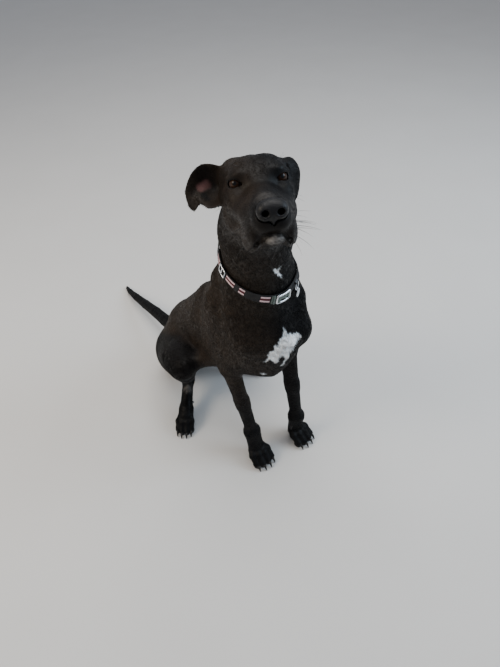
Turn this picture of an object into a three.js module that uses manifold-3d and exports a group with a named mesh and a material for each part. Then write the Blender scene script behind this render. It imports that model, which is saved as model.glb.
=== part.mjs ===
// A great dane, life size, sitting: short black coat, drop ears, a webbing collar with buckle, ring and tag.
// Millimetres, +Z up. The dog's chest faces -Y and its left side is +X. It sits on the plane z = 0.
// The flesh is one smooth field of named muscles and bones. It is meshed, thinned and parted by thin cuts.
import * as THREE from "three";
import { mergeVertices } from "three/addons/utils/BufferGeometryUtils.js";
import Module from "manifold-3d";

const wasm = await Module();
wasm.setup();

// Driving sizes
const GAP = 0.3; // clearance between pieces that touch
const RIGHT = -1;
const LEFT = 1;
const SIDES = [RIGHT, LEFT];
const SIDE_NAME = { [RIGHT]: "right", [LEFT]: "left" };

// The head's frame: the point between the eyes, turned to the dog's right, raised and tilted a little.
const HEAD_AT = [-75, -1, 1001];
const HEAD_YAW = 32;
const HEAD_PITCH = 26.5;
const HEAD_ROLL = 3;

// Joints of the legs, right then left. The dog rests its hind feet beside its belly, toes turned out.
const ELBOW = { [RIGHT]: [-80, 140, 378], [LEFT]: [95, 95, 378] };
const CARPUS = { [RIGHT]: [-62, 77, 106], [LEFT]: [83, 29, 106] };
const FORE_TOES = { [RIGHT]: [-70, -17, 0], [LEFT]: [90, -40, 0] };
const HIP = [80, 470, 175];
const KNEE = [148, 300, 283];
const HOCK = [93, 395, 90];
const HIND_TOES = { [RIGHT]: [-218, 254, 0], [LEFT]: [204, 288, 0] };

// Sizes of the paws
const FORE_PAW = { width: 80, length: 74, height: 46 };
const HIND_PAW = { width: 70, length: 70, height: 42 };
const CLAW = { length: 15, root: 5, tip: 1.4 };

// Eyes
const EYE_RADIUS = 13.2;
const EYE_AT = [-11, 39, 0]; // in the head's frame: forward, left, up
const LID = 3.2; // thickness of the lids over the eyeball

// Collar
const COLLAR = { width: 23, thick: 2.6, clearance: 2, at: [-8, 100, 728], tilt: 22, turn: -11 };
const BUCKLE = { angle: -10, half: 12, thick: 6.4 };
const SLIDER = { angle: -112, half: 9, thick: 2.6 };
const RING = { angle: 20, radius: 10.5, wire: 1.5, height: -7.5 };
const TAG = { radius: 11.5, thick: 1.6 };

// Vector helpers on plain arrays
const add = (a, b, s = 1) => [a[0] + b[0] * s, a[1] + b[1] * s, a[2] + b[2] * s];
const sub = (a, b) => add(a, b, -1);
const dot = (a, b) => a[0] * b[0] + a[1] * b[1] + a[2] * b[2];
const cross = (a, b) => [a[1] * b[2] - a[2] * b[1], a[2] * b[0] - a[0] * b[2], a[0] * b[1] - a[1] * b[0]];
const norm = (a) => Math.hypot(a[0], a[1], a[2]);
const unit = (a) => add([0, 0, 0], a, 1 / norm(a));
const mix = (a, b, t) => add(add([0, 0, 0], a, 1 - t), b, t);
const clamp = (x, low, high) => Math.min(high, Math.max(low, x));
const radians = THREE.MathUtils.degToRad;

// A frame with its own forward, left and up axes: at(a, l, u) gives the point, along(a, l, u) the direction.
function frame(origin, forward, up) {
  const a = unit(forward);
  const l = unit(cross(up, a));
  const u = cross(a, l);
  const along = (x, y, z) => add(add(add([0, 0, 0], a, x), l, y), u, z);
  return { origin, axes: [a, l, u], along, at: (x, y, z) => add(origin, along(x, y, z)) };
}

function headFrame() {
  const [yaw, pitch, roll] = [HEAD_YAW, HEAD_PITCH, HEAD_ROLL].map(radians);
  const flat = [-Math.sin(yaw), -Math.cos(yaw), 0];
  const side = [Math.cos(yaw), -Math.sin(yaw), 0];
  const forward = add(add([0, 0, 0], flat, Math.cos(pitch)), [0, 0, 1], Math.sin(pitch));
  const up = add(add([0, 0, 0], flat, -Math.sin(pitch)), [0, 0, 1], Math.cos(pitch));
  return frame(HEAD_AT, forward, add(add([0, 0, 0], up, Math.cos(roll)), side, -Math.sin(roll)));
}

const BODY = frame([0, 0, 0], [0, -1, 0], [0, 0, 1]);
const HEAD = headFrame();

// A round-ended taper from a to b. With side and flat its section is an ellipse, `flat` times as thick
// along `side` as it is the other way.
function limb(a, b, ra, rb, side = null, flat = 1) {
  const w = sub(b, a);
  const long2 = Math.max(dot(w, w), 1e-9);
  const s = side && unit(side);
  return {
    at(x, y, z) {
      let [qx, qy, qz] = [x - a[0], y - a[1], z - a[2]];
      const t = clamp((qx * w[0] + qy * w[1] + qz * w[2]) / long2, 0, 1);
      const r = ra + (rb - ra) * t;
      qx -= w[0] * t;
      qy -= w[1] * t;
      qz -= w[2] * t;
      const q2 = qx * qx + qy * qy + qz * qz;
      if (!s) return Math.sqrt(q2) - r;
      const across = (qx * s[0] + qy * s[1] + qz * s[2]) ** 2;
      const rest = q2 - across;
      const thin = r * flat;
      const k0 = Math.sqrt(rest / r ** 2 + across / thin ** 2);
      const k1 = Math.sqrt(rest / r ** 4 + across / thin ** 4);
      return k1 < 1e-9 ? -Math.min(r, thin) : (k0 * (k0 - 1)) / k1;
    },
  };
}

// An ellipsoid with its three radii along a frame's axes.
function egg(c, [r0, r1, r2], [e0, e1, e2]) {
  return {
    at(x, y, z) {
      const [qx, qy, qz] = [x - c[0], y - c[1], z - c[2]];
      const i = (qx * e0[0] + qy * e0[1] + qz * e0[2]) / r0;
      const j = (qx * e1[0] + qy * e1[1] + qz * e1[2]) / r1;
      const k = (qx * e2[0] + qy * e2[1] + qz * e2[2]) / r2;
      const k0 = Math.sqrt(i * i + j * j + k * k);
      const k1 = Math.sqrt((i / r0) ** 2 + (j / r1) ** 2 + (k / r2) ** 2);
      return k1 < 1e-9 ? -Math.min(r0, r1, r2) : (k0 * (k0 - 1)) / k1;
    },
  };
}

// A solid made of shapes that flow into each other over the width k, or are cut away with a rounded edge.
// Space is read in blocks: the shapes that matter in a block are found once, when it is first asked for.
const BLOCK = 32;
const BLOCK_REACH = 40; // how much the distance may change inside a block

function blend(parts, x, y, z) {
  let d = 1e4;
  for (const { shape, k, cut } of parts) {
    const e = cut ? -shape.at(x, y, z) : shape.at(x, y, z);
    const h = Math.max(k - Math.abs(d - e), 0) / k;
    d = cut ? Math.max(d, e) + (h * h * k) / 4 : Math.min(d, e) - (h * h * k) / 4;
  }
  return d;
}

class Field {
  parts = [];
  blocks = new Map();
  add(k, ...shapes) {
    for (const shape of shapes) this.parts.push({ shape, k, cut: false });
    return this;
  }
  cut(k, ...shapes) {
    for (const shape of shapes) this.parts.push({ shape, k, cut: true });
    return this;
  }
  block(x, y, z) {
    const [i, j, k] = [Math.floor(x / BLOCK), Math.floor(y / BLOCK), Math.floor(z / BLOCK)];
    const key = ((i + 64) * 128 + j + 64) * 128 + k + 64;
    let block = this.blocks.get(key);
    if (!block) {
      const c = [(i + 0.5) * BLOCK, (j + 0.5) * BLOCK, (k + 0.5) * BLOCK];
      const middle = blend(this.parts, ...c);
      const near = ({ shape, k: width, cut }) =>
        shape.at(...c) - BLOCK_REACH < (cut ? width - middle : middle + width) + BLOCK_REACH;
      block = { middle, parts: Math.abs(middle) > BLOCK_REACH ? null : this.parts.filter(near) };
      this.blocks.set(key, block);
    }
    return block;
  }
  at(x, y, z) {
    const { middle, parts } = this.block(x, y, z);
    return parts ? blend(parts, x, y, z) : middle;
  }
  gradient([x, y, z], h = 0.5) {
    const { parts } = this.block(x, y, z);
    const at = (i, j, k) => blend(parts ?? this.parts, x + i, y + j, z + k);
    return [at(h, 0, 0) - at(-h, 0, 0), at(0, h, 0) - at(0, -h, 0), at(0, 0, h) - at(0, 0, -h)].map(
      (difference) => difference / (2 * h)
    );
  }
}

// The trunk: rib cage, belly, loin, croup and withers
function addTrunk(field) {
  const rise = radians(40);
  const trunk = frame([0, 0, 0], [0, -Math.cos(rise), Math.sin(rise)], [0, Math.sin(rise), Math.cos(rise)]);
  const X = [1, 0, 0];
  field.add(30, egg([0, 160, 478], [172, 104, 142], trunk.axes));
  field.add(46, limb([0, 76, 528], [0, 122, 430], 80, 76, X, 1));
  field.add(46, limb([0, 235, 366], [0, 400, 226], 93, 74, X, 0.98));
  field.add(40, limb([0, 318, 415], [0, 478, 250], 72, 68, X, 1.06));
  field.add(40, limb([0, 478, 246], [0, 536, 152], 70, 64, X, 1.06));
  field.add(34, limb([0, 180, 618], [0, 322, 474], 38, 35), limb([0, 322, 474], [0, 478, 298], 34, 35));
  field.add(36, limb([0, 6, 522], [0, 60, 396], 38, 30, X, 0.8));
}

// The neck, from between the shoulders to the back of the skull
function addNeck(field) {
  const X = [1, -0.35, 0];
  const nape = HEAD.at(-128, 0, -22);
  const low = [0, 118, 600];
  const mid = [-4, 103, 705];
  const high = [-19, 83, 830];
  field.add(55, limb(low, mid, 112, 91, X, 0.85));
  field.add(30, limb(mid, high, 91, 82, X, 0.88), limb(high, HEAD.at(-92, -4, -57), 83, 68, X, 0.93));
  field.add(30, limb([0, 182, 660], [-14, 138, 800], 46, 36), limb([-14, 138, 800], nape, 36, 40));
}

// One shoulder and the foreleg down to the wrist
function addForeleg(field, side) {
  const elbow = ELBOW[side];
  const carpus = CARPUS[side];
  const blade = [side * 50, elbow[1] + 44, 646];
  const point = [side * 56, elbow[1] - 68, 532];
  const olecranon = add(elbow, [0, 26, 14]);
  field.add(30, limb(blade, point, 30, 43, [1, 0, 0], 0.84));
  field.add(34, limb([side * 40 - 4, elbow[1] - 28, 738], [side * 71, elbow[1] - 44, 620], 14, 28));
  field.add(26, egg(add(point, [side * 2, 16, 32]), [40, 35, 56], BODY.axes));
  field.add(24, limb(point, elbow, 40, 35, [1, 0, 0], 0.86));
  field.add(28, limb(add(blade, [side * 22, -6, -70]), olecranon, 50, 25, [1, 0, 0], 0.7));
  field.add(16, limb(add(elbow, [0, 0, -8]), mix(elbow, carpus, 0.55), 32, 24, [1, 0, 0], 0.82));
  field.add(14, limb(mix(elbow, carpus, 0.5), carpus, 24.5, 20.5, [1, 0, 0], 0.9));
  field.add(12, limb(olecranon, mix(elbow, carpus, 0.6), 17, 13));
  field.add(10, egg(carpus, [23, 22.5, 24], BODY.axes));
  field.add(8, limb(add(carpus, [0, 20, -6]), add(carpus, [0, 26, -10]), 10, 8));
}

// One thigh, lower leg and rear pastern, folded as the dog sits
function addHindleg(field, side) {
  const at = ([x, y, z]) => [side * x, y, z];
  const [hip, knee, hock] = [HIP, KNEE, HOCK].map(at);
  const toes = HIND_TOES[side];
  const outward = unit([side * 0.86, -0.1, 0.5]);
  field.add(40, limb(at([84, 472, 172]), mix(hip, knee, 0.8), 84, 52, outward, 0.64));
  field.add(30, limb(mix(hip, knee, 0.62), knee, 52, 38, outward, 0.86));
  field.add(30, egg(at([56, 520, 96]), [62, 54, 99], BODY.axes));
  field.add(22, limb(add(knee, [0, 8, -8]), mix(knee, hock, 0.55), 33, 27, outward, 0.82));
  field.add(16, limb(mix(knee, hock, 0.5), hock, 28, 19));
  const heel = add(hock, [side * -8, 24, 6]);
  field.add(12, limb(hock, heel, 20, 17));
  field.add(14, limb(hock, mix(hock, toes, 0.62), 19, 22));
  field.add(26, limb(add(knee, [side * -34, 0, -4]), [side * 52, 236, 322], 22, 30));
  field.add(34, limb(at([66, 512, 92]), at([112, 378, 190]), 60, 34, outward, 0.8));
}

// A paw: four arched toes over their pads, and the big pad behind them. It points from the leg to the toes.
function pawFrame(leg, toes, paw) {
  const forward = unit([toes[0] - leg[0], toes[1] - leg[1], 0]);
  return frame(add(toes, forward, -paw.length - CLAW.length * 0.8), forward, [0, 0, 1]);
}

const TOES = [-1, -0.36, 0.36, 1]; // across the paw, as shares of its half width

function toeJoints(f, paw, across) {
  const half = paw.width / 2 - 13;
  const reach = paw.length - 9 * across * across - 8;
  return {
    knuckle: f.at(paw.length * 0.22, across * half * 0.72, paw.height * 0.86),
    bend: f.at(reach - 24, across * half * 0.98, paw.height * 0.76),
    tip: f.at(reach, across * half * 1.04, paw.height * 0.36),
  };
}

function addPaw(field, leg, toes, paw) {
  const f = pawFrame(leg, toes, paw);
  const instep = f.at(paw.length * 0.2, 0, paw.height * 0.74);
  field.add(16, limb(leg, instep, paw.width * 0.29, paw.width * 0.3, f.axes[1], 1.12));
  for (const across of TOES) {
    const { knuckle, bend, tip } = toeJoints(f, paw, across);
    const thick = paw.width * 0.148;
    field.add(7, limb(knuckle, bend, thick * 1.04, thick), limb(bend, tip, thick, thick * 0.94));
    field.add(4, egg(add(tip, f.along(-5, 0, 5 - tip[2])), [14, 9.5, 8], f.axes));
  }
  field.add(8, egg(f.at(paw.length * 0.3, 0, 11), [22, paw.width * 0.27, 14], f.axes));
}

function addClaws(field, leg, toes, paw) {
  const f = pawFrame(leg, toes, paw);
  for (const across of TOES) {
    const { tip } = toeJoints(f, paw, across);
    const root = add(tip, f.along(7, 0, -1));
    const middle = add(root, f.along(CLAW.length * 0.5, 0, -2.5));
    const end = add(root, f.along(CLAW.length * 0.92, 0, 3.2 - root[2]));
    field.add(1.5, limb(root, middle, CLAW.root, CLAW.root * 0.72, f.axes[1], 0.8));
    field.add(1.5, limb(middle, end, CLAW.root * 0.72, CLAW.tip, f.axes[1], 0.8));
  }
}

// The dewclaw on the inner side of the wrist or rear pastern
function addDewclaw(field, from, inward) {
  const pad = add(from, inward, 21);
  field.add(6, limb(from, pad, 12, 7.5));
  field.add(2, limb(pad, add(add(pad, inward, 9), [0, -3, -9]), 4.5, 1.5));
}

const TAIL = [
  [[0, 552, 160], 34],
  [[0, 612, 114], 28],
  [[2, 695, 97], 24],
  [[6, 780, 78], 22],
  [[8, 870, 56], 19.5],
  [[10, 960, 35], 16],
  [[15, 1035, 16], 12],
  [[21, 1072, 8], 8.5],
  [[24, 1084, 6], 6.5],
];

function addTail(field) {
  for (let i = 0; i + 1 < TAIL.length; i++) {
    const [[a, ra], [b, rb]] = [TAIL[i], TAIL[i + 1]];
    field.add(i ? 4 : 34, limb(a, b, ra, rb));
  }
}

// The skull, muzzle, lips and jaw, in the head's frame: forward along the muzzle, left, up
function addSkull(field) {
  const { at, axes } = HEAD;
  const S = axes[1];
  field.add(20, egg(at(-78, 0, -6), [92, 60, 50], axes));
  field.add(18, limb(at(-120, 0, 16), at(-156, 0, 2), 28, 20));
  field.add(24, limb(at(8, 0, -30), at(114, 0, -44), 29, 25, S, 1.02));
  for (const side of SIDES) {
    const p = (a, l, u) => at(a, l * side, u);
    field.add(16, egg(p(-36, 21, 10), [46, 33, 33], axes));
    field.add(16, egg(p(-92, 36, side === LEFT ? 1 : 6), [52, 32, 38], axes));
    field.add(14, limb(p(-2, 44, -20), p(-76, 53, -22), 14, 17));
    field.add(18, egg(p(-54, 42, -54), [46, 26, 44], axes));
    field.add(10, egg(p(-10, 35, 15), [20, 15, 10], axes));
    const cheek = limb(p(-8, 40, -40), p(56, 27, -56), 21, 19);
    field.add(18, limb(p(20, 15, -40), p(116, 11, -50), 22, 20), cheek);
    field.add(14, limb(p(116, 14, -62), p(64, 28, -84), 13, 17));
    field.add(12, egg(p(72, 29, -76), [44, 17, 32], axes), egg(p(48, 34, -94), [32, 13, 22], axes));
    field.add(10, egg(p(122, 11, -60), [16, 16, 16], axes));
  }
}

function addJaw(field) {
  const { at, axes } = HEAD;
  field.add(16, limb(at(16, 0, -84), at(-70, 0, -92), 30, 52));
  for (const side of SIDES) {
    const p = (a, l, u) => at(a, l * side, u);
    field.add(10, limb(p(106, 11, -86), p(10, 26, -80), 11, 17));
    field.add(16, limb(p(10, 26, -80), p(-50, 40, -66), 18, 28));
  }
  field.add(5, egg(at(112, 0, -88), [20, 21, 12], axes));
}

// The line of the mouth, the groove under the nose, and the nostrils
function cutFace(field) {
  const { at } = HEAD;
  const groove = (points, r) => points.slice(1).map((p, i) => limb(points[i], p, r, r));
  for (const side of SIDES) {
    const p = (a, l, u) => at(a, l * side, u);
    const front = [p(136, 0, -77), p(127, 15, -79), p(106, 27, -92)];
    const corner = [p(78, 35, -109), p(52, 41, -115), p(28, 44, -104)];
    field.cut(3, ...groove([...front, ...corner], 2.4));
  }
  field.cut(3, ...groove([at(147, 0, -48), at(145, 0, -76)], 1.8));
}

// Lids: a shell over each eyeball with an almond opening
function addLids(field) {
  for (const side of SIDES) {
    const eye = HEAD.at(EYE_AT[0], EYE_AT[1] * side, EYE_AT[2]);
    const gaze = frame(eye, HEAD.along(0.82, 0.52 * side, 0.12), HEAD.axes[2]);
    const r = EYE_RADIUS + LID;
    field.add(9, egg(eye, [r, r * 1.08, r * 0.98], gaze.axes));
    field.add(5, limb(gaze.at(9, -13 * side, 8), gaze.at(9, 12 * side, 9), 5, 5));
    field.cut(2, egg(gaze.at(15, 0, -1), [14, 12.5, 6.2], gaze.axes));
    field.cut(2, egg(gaze.at(9, -12 * side, -3), [8, 5, 2.6], gaze.axes));
  }
}

function noseField() {
  const { at, axes } = HEAD;
  const field = new Field();
  field.add(6, egg(at(137, 0, -38), [15, 22, 17], axes));
  for (const side of SIDES) {
    const p = (a, l, u) => at(a, l * side, u);
    field.add(8, egg(p(138, 13, -41), [13, 12, 14], axes));
    field.cut(3, limb(p(160, 10, -46), p(138, 14, -40), 5.4, 3.8));
    field.cut(2, limb(p(152, 15, -48), p(142, 27, -50), 2.4, 1.8));
  }
  field.add(5, limb(at(140, 0, -54), at(138, 0, -62), 6.5, 4));
  field.cut(2, limb(at(155, 0, -42), at(148, 0, -70), 1.4, 1.4));
  return field;
}

function fleshField() {
  const field = new Field();
  addTrunk(field);
  addNeck(field);
  for (const side of SIDES) {
    const mirrored = ([x, y, z]) => [side * x, y, z];
    addForeleg(field, side);
    addHindleg(field, side);
    addPaw(field, CARPUS[side], FORE_TOES[side], FORE_PAW);
    addPaw(field, mix(mirrored(HOCK), HIND_TOES[side], 0.5), HIND_TOES[side], HIND_PAW);
  }
  addTail(field);
  addSkull(field);
  addJaw(field);
  addLids(field);
  cutFace(field);
  for (const side of SIDES) {
    const mirrored = ([x, y, z]) => [side * x, y, z];
    addClaws(field, CARPUS[side], FORE_TOES[side], FORE_PAW);
    addClaws(field, mix(mirrored(HOCK), HIND_TOES[side], 0.5), HIND_TOES[side], HIND_PAW);
    addDewclaw(field, add(CARPUS[side], [0, -4, -30]), [-side, -0.1, 0]);
    addDewclaw(field, mix(mirrored(HOCK), HIND_TOES[side], 0.45), unit([-side * 0.8, 0.1, 0]));
  }
  return field;
}

// Marching tetrahedra: the surface of a field inside a box, as points and triangles, closed by its walls.
const EDGE_STEPS = [
  [1, 0, 0],
  [0, 1, 0],
  [0, 0, 1],
  [1, 1, 0],
  [0, 1, 1],
  [1, 0, 1],
  [1, 1, 1],
];
const AXIS_ORDERS = [
  [0, 1, 2],
  [1, 2, 0],
  [2, 0, 1],
  [0, 2, 1],
  [2, 1, 0],
  [1, 0, 2],
];

function surface(field, low, high, cell) {
  const n = [0, 1, 2].map((i) => Math.ceil((high[i] - low[i]) / cell) + 1);
  const stride = [1, n[0], n[0] * n[1]];
  const value = new Float32Array(n[0] * n[1] * n[2]);
  for (let k = 0; k < n[2]; k++)
    for (let j = 0; j < n[1]; j++)
      for (let i = 0; i < n[0]; i++) {
        const wall = !i || !j || !k || i === n[0] - 1 || j === n[1] - 1 || k === n[2] - 1;
        const d = field.at(low[0] + i * cell, low[1] + j * cell, low[2] + k * cell);
        value[i + j * stride[1] + k * stride[2]] = wall ? Math.max(d, cell * 0.5) : d;
      }
  const points = [];
  const triangles = [];
  const known = new Map();
  const place = (index) => {
    const k = Math.floor(index / stride[2]);
    const j = Math.floor((index - k * stride[2]) / stride[1]);
    return [index - k * stride[2] - j * stride[1], j, k];
  };
  const onEdge = (p, q) => {
    const [a, b] = p < q ? [p, q] : [q, p];
    const step = place(b - a);
    const key = a * 7 + EDGE_STEPS.findIndex((e) => e[0] === step[0] && e[1] === step[1] && e[2] === step[2]);
    if (!known.has(key)) {
      const t = clamp(value[a] / (value[a] - value[b]), 0.04, 0.96);
      const [i, j, k] = place(a);
      known.set(key, points.length / 3);
      const at = [i + step[0] * t, j + step[1] * t, k + step[2] * t];
      points.push(...at.map((x, axis) => low[axis] + x * cell));
    }
    return known.get(key);
  };
  const corner = new Array(4);
  const tetra = (even) => {
    const inside = [];
    const outside = [];
    for (const c of corner) (value[c] < 0 ? inside : outside).push(c);
    if (!inside.length || !outside.length) return;
    // whether the order inside, then outside, is an even shuffle of the four corners
    const order = [...inside, ...outside].map((c) => corner.indexOf(c));
    let swaps = 0;
    for (let a = 0; a < 4; a++) for (let b = a + 1; b < 4; b++) if (order[a] > order[b]) swaps++;
    const straight = (swaps % 2 === 0) === even;
    const [p, q, r, s] = [...inside, ...outside];
    let faces;
    if (inside.length === 1) faces = [[onEdge(p, q), onEdge(p, r), onEdge(p, s)]];
    else if (inside.length === 3) faces = [[onEdge(p, s), onEdge(q, s), onEdge(r, s)]];
    else {
      const [pr, ps, qs, qr] = [onEdge(p, r), onEdge(p, s), onEdge(q, s), onEdge(q, r)];
      faces = [
        [pr, ps, qs],
        [pr, qs, qr],
      ];
    }
    for (const [a, b, c] of faces) triangles.push(...(straight ? [a, b, c] : [a, c, b]));
  };
  for (let k = 0; k < n[2] - 1; k++)
    for (let j = 0; j < n[1] - 1; j++)
      for (let i = 0; i < n[0] - 1; i++) {
        const first = i + j * stride[1] + k * stride[2];
        const far = first + stride[0] + stride[1] + stride[2];
        let low4 = value[first];
        let high4 = low4;
        for (let c = 1; c < 8; c++) {
          const v = value[first + (c & 1) * stride[0] + ((c >> 1) & 1) * stride[1] + (c >> 2) * stride[2]];
          low4 = Math.min(low4, v);
          high4 = Math.max(high4, v);
        }
        if (low4 >= 0 || high4 < 0) continue;
        AXIS_ORDERS.forEach(([a, b], order) => {
          corner[0] = first;
          corner[1] = first + stride[a];
          corner[2] = corner[1] + stride[b];
          corner[3] = far;
          tetra(order < 3);
        });
      }
  return { points: Float64Array.from(points), triangles: Uint32Array.from(triangles) };
}

// Moves each point of a mesh onto the field's surface.
function settle(mesh, field, fraction = 1) {
  for (let i = 0; i < mesh.points.length; i += 3) {
    const p = [mesh.points[i], mesh.points[i + 1], mesh.points[i + 2]];
    const g = field.gradient(p);
    const step = (field.at(...p) * fraction) / Math.max(dot(g, g), 0.2);
    for (let axis = 0; axis < 3; axis++) mesh.points[i + axis] -= clamp(g[axis] * step, -2, 2);
  }
  return mesh;
}

// Thins a closed mesh by quadric edge collapse until it has about `target` triangles.
function simplify({ points, triangles }, target) {
  const count = points.length / 3;
  const quadric = new Float64Array(count * 10);
  const corners = (i) => [...triangles.subarray(i * 3, i * 3 + 3)];
  const faces = Array.from({ length: triangles.length / 3 }, (_, i) => corners(i));
  const around = Array.from({ length: count }, () => new Set());
  const version = new Uint32Array(count);
  const at = (v) => [points[v * 3], points[v * 3 + 1], points[v * 3 + 2]];
  const normalOf = ([a, b, c]) => cross(sub(at(b), at(a)), sub(at(c), at(a)));
  faces.forEach((face, index) => {
    const n = normalOf(face);
    const area = norm(n);
    for (const v of face) around[v].add(index);
    if (area < 1e-9) return;
    const [x, y, z] = add([0, 0, 0], n, 1 / area);
    const w = -dot([x, y, z], at(face[0]));
    const terms = [x * x, x * y, x * z, x * w, y * y, y * z, y * w, z * z, z * w, w * w];
    for (const v of face) terms.forEach((t, k) => (quadric[v * 10 + k] += t * area));
  });
  const cost = (q, [x, y, z]) =>
    q[0] * x * x + 2 * q[1] * x * y + 2 * q[2] * x * z + 2 * q[3] * x + q[4] * y * y +
    2 * q[5] * y * z + 2 * q[6] * y + q[7] * z * z + 2 * q[8] * z + q[9];
  const best = (a, b) => {
    const q = new Array(10);
    for (let k = 0; k < 10; k++) q[k] = quadric[a * 10 + k] + quadric[b * 10 + k];
    const [pa, pb] = [at(a), at(b)];
    const choices = [pa, pb, mix(pa, pb, 0.5)];
    const rows = [
      [q[0], q[1], q[2]],
      [q[1], q[4], q[5]],
      [q[2], q[5], q[7]],
    ];
    const det = dot(rows[0], cross(rows[1], rows[2]));
    const scale = (q[0] + q[4] + q[7]) ** 3;
    if (Math.abs(det) > 1e-4 * scale) {
      const r = [-q[3], -q[6], -q[8]];
      const [c0, c1, c2] = [cross(rows[1], rows[2]), cross(rows[2], rows[0]), cross(rows[0], rows[1])];
      const p = [0, 1, 2].map((i) => (c0[i] * r[0] + c1[i] * r[1] + c2[i] * r[2]) / det);
      if (norm(sub(p, choices[2])) < 2 * norm(sub(pa, pb))) choices.push(p);
    }
    const length2 = dot(sub(pa, pb), sub(pa, pb));
    let found = null;
    for (const p of choices) {
      const c = Math.max(cost(q, p), 0) + 1e-4 * length2 * length2;
      if (!found || c < found.cost) found = { cost: c, p };
    }
    return found;
  };
  // A binary heap of edges, cheapest first
  const heap = [];
  const swap = (i, j) => ([heap[i], heap[j]] = [heap[j], heap[i]]);
  const push = (a, b) => {
    const { cost: c, p } = best(a, b);
    heap.push({ c, a, b, p, va: version[a], vb: version[b] });
    const above = (i) => (i - 1) >> 1;
    for (let i = heap.length - 1; i && heap[above(i)].c > heap[i].c; i = above(i)) swap(i, above(i));
  };
  const pop = () => {
    swap(0, heap.length - 1);
    const top = heap.pop();
    for (let i = 0; ; ) {
      let least = i;
      for (const child of [2 * i + 1, 2 * i + 2])
        if (child < heap.length && heap[child].c < heap[least].c) least = child;
      if (least === i) return top;
      swap(i, least);
      i = least;
    }
  };
  for (const [a, b, c] of faces)
    for (const [u, v] of [
      [a, b],
      [b, c],
      [c, a],
    ])
      if (u < v) push(u, v);
  let left = faces.length;
  while (left > target && heap.length) {
    const { a, b, p, va, vb } = pop();
    if (version[a] !== va || version[b] !== vb) continue;
    const shared = [...around[a]].filter((i) => around[b].has(i));
    const ring = (v) => new Set([...around[v]].flatMap((i) => faces[i]));
    const ringB = ring(b);
    if (shared.length !== 2 || [...ring(a)].filter((v) => ringB.has(v)).length !== 4) continue;
    const turns = (v) =>
      [...around[v]].some((i) => {
        if (shared.includes(i)) return false;
        const [before, moved] = [normalOf(faces[i]), faces[i].map((w) => (w === v ? p : at(w)))];
        const after = cross(sub(moved[1], moved[0]), sub(moved[2], moved[0]));
        return dot(before, after) < 0.3 * norm(before) * norm(after) || norm(after) < 1e-3;
      });
    if (turns(a) || turns(b)) continue;
    points.set(p, a * 3);
    for (const i of shared) {
      for (const v of faces[i]) around[v].delete(i);
      faces[i] = null;
      left--;
    }
    for (const i of around[b]) {
      faces[i] = faces[i].map((v) => (v === b ? a : v));
      around[a].add(i);
    }
    around[b].clear();
    for (let k = 0; k < 10; k++) quadric[a * 10 + k] += quadric[b * 10 + k];
    version[a]++;
    version[b]++;
    for (const v of ring(a)) if (v !== a) push(Math.min(a, v), Math.max(a, v));
  }
  return { points, triangles: Uint32Array.from(faces.filter(Boolean).flat()) };
}

// Manifold solids from meshes, and three.js geometry back from them
function solidOf({ points, triangles }) {
  const used = new Map();
  const packed = [];
  const triVerts = Uint32Array.from(triangles, (v) => {
    if (!used.has(v)) {
      used.set(v, used.size);
      packed.push(points[v * 3], points[v * 3 + 1], points[v * 3 + 2]);
    }
    return used.get(v);
  });
  const vertProperties = Float32Array.from(packed);
  return new wasm.Manifold(new wasm.Mesh({ numProp: 3, vertProperties, triVerts }));
}

function solidOfGeometry(geometry) {
  const bare = geometry.clone();
  bare.deleteAttribute("normal");
  bare.deleteAttribute("uv");
  const merged = mergeVertices(bare, 1e-3);
  return solidOf({ points: merged.attributes.position.array, triangles: merged.index.array });
}

function geometryOf(solid) {
  const { vertProperties, triVerts } = solid.getMesh();
  const geometry = new THREE.BufferGeometry();
  geometry.setAttribute("position", new THREE.BufferAttribute(vertProperties, 3));
  geometry.setIndex(new THREE.BufferAttribute(triVerts, 1));
  return geometry;
}

const largest = (solid) => solid.decompose().reduce((a, b) => (b.volume() > a.volume() ? b : a));

// The same solid with each point moved outwards, so that what is cut by it keeps a gap.
function grown(solid, by) {
  const geometry = geometryOf(solid);
  geometry.computeVertexNormals();
  const { position, normal } = geometry.attributes;
  for (let i = 0; i < position.array.length; i++) position.array[i] += normal.array[i] * by;
  return solidOf({ points: position.array, triangles: geometry.index.array });
}

// A slab of the gap's thickness, square to `normal`, that parts a solid at a joint.
function slab(at, normal, reach, thick = GAP) {
  const geometry = new THREE.BoxGeometry(reach[0], reach[1], thick);
  const z = new THREE.Vector3(...unit(normal));
  geometry.applyQuaternion(new THREE.Quaternion().setFromUnitVectors(new THREE.Vector3(0, 0, 1), z));
  geometry.translate(...at);
  return solidOfGeometry(geometry);
}

const flesh = fleshField();

function meshed(field, low, high, cell, target) {
  return solidOf(simplify(settle(surface(field, low, high, cell), field), target));
}

// What lies on the side of a plane that its normal points to, half a gap away from it
const keep = (solid, at, normal) => solid.trimByPlane(unit(normal), dot(unit(normal), at) + GAP / 2);
const onFloor = (solid) => solid.trimByPlane([0, 0, 1], 0);

// A sheet through rows of points, as even grids of front and back points with a closed edge.
function spline(points, t) {
  const x = t * (points.length - 1);
  const i = Math.min(Math.floor(x), points.length - 2);
  const f = x - i;
  const p = [i - 1, i, i + 1, i + 2].map((n) => points[clamp(n, 0, points.length - 1)]);
  return p[0].map((_, axis) => {
    const [a, b, c, d] = p.map((q) => q[axis]);
    return b + (f / 2) * (c - a + f * (2 * a - 5 * b + 4 * c - d + f * (3 * (b - c) + d - a)));
  });
}

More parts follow.
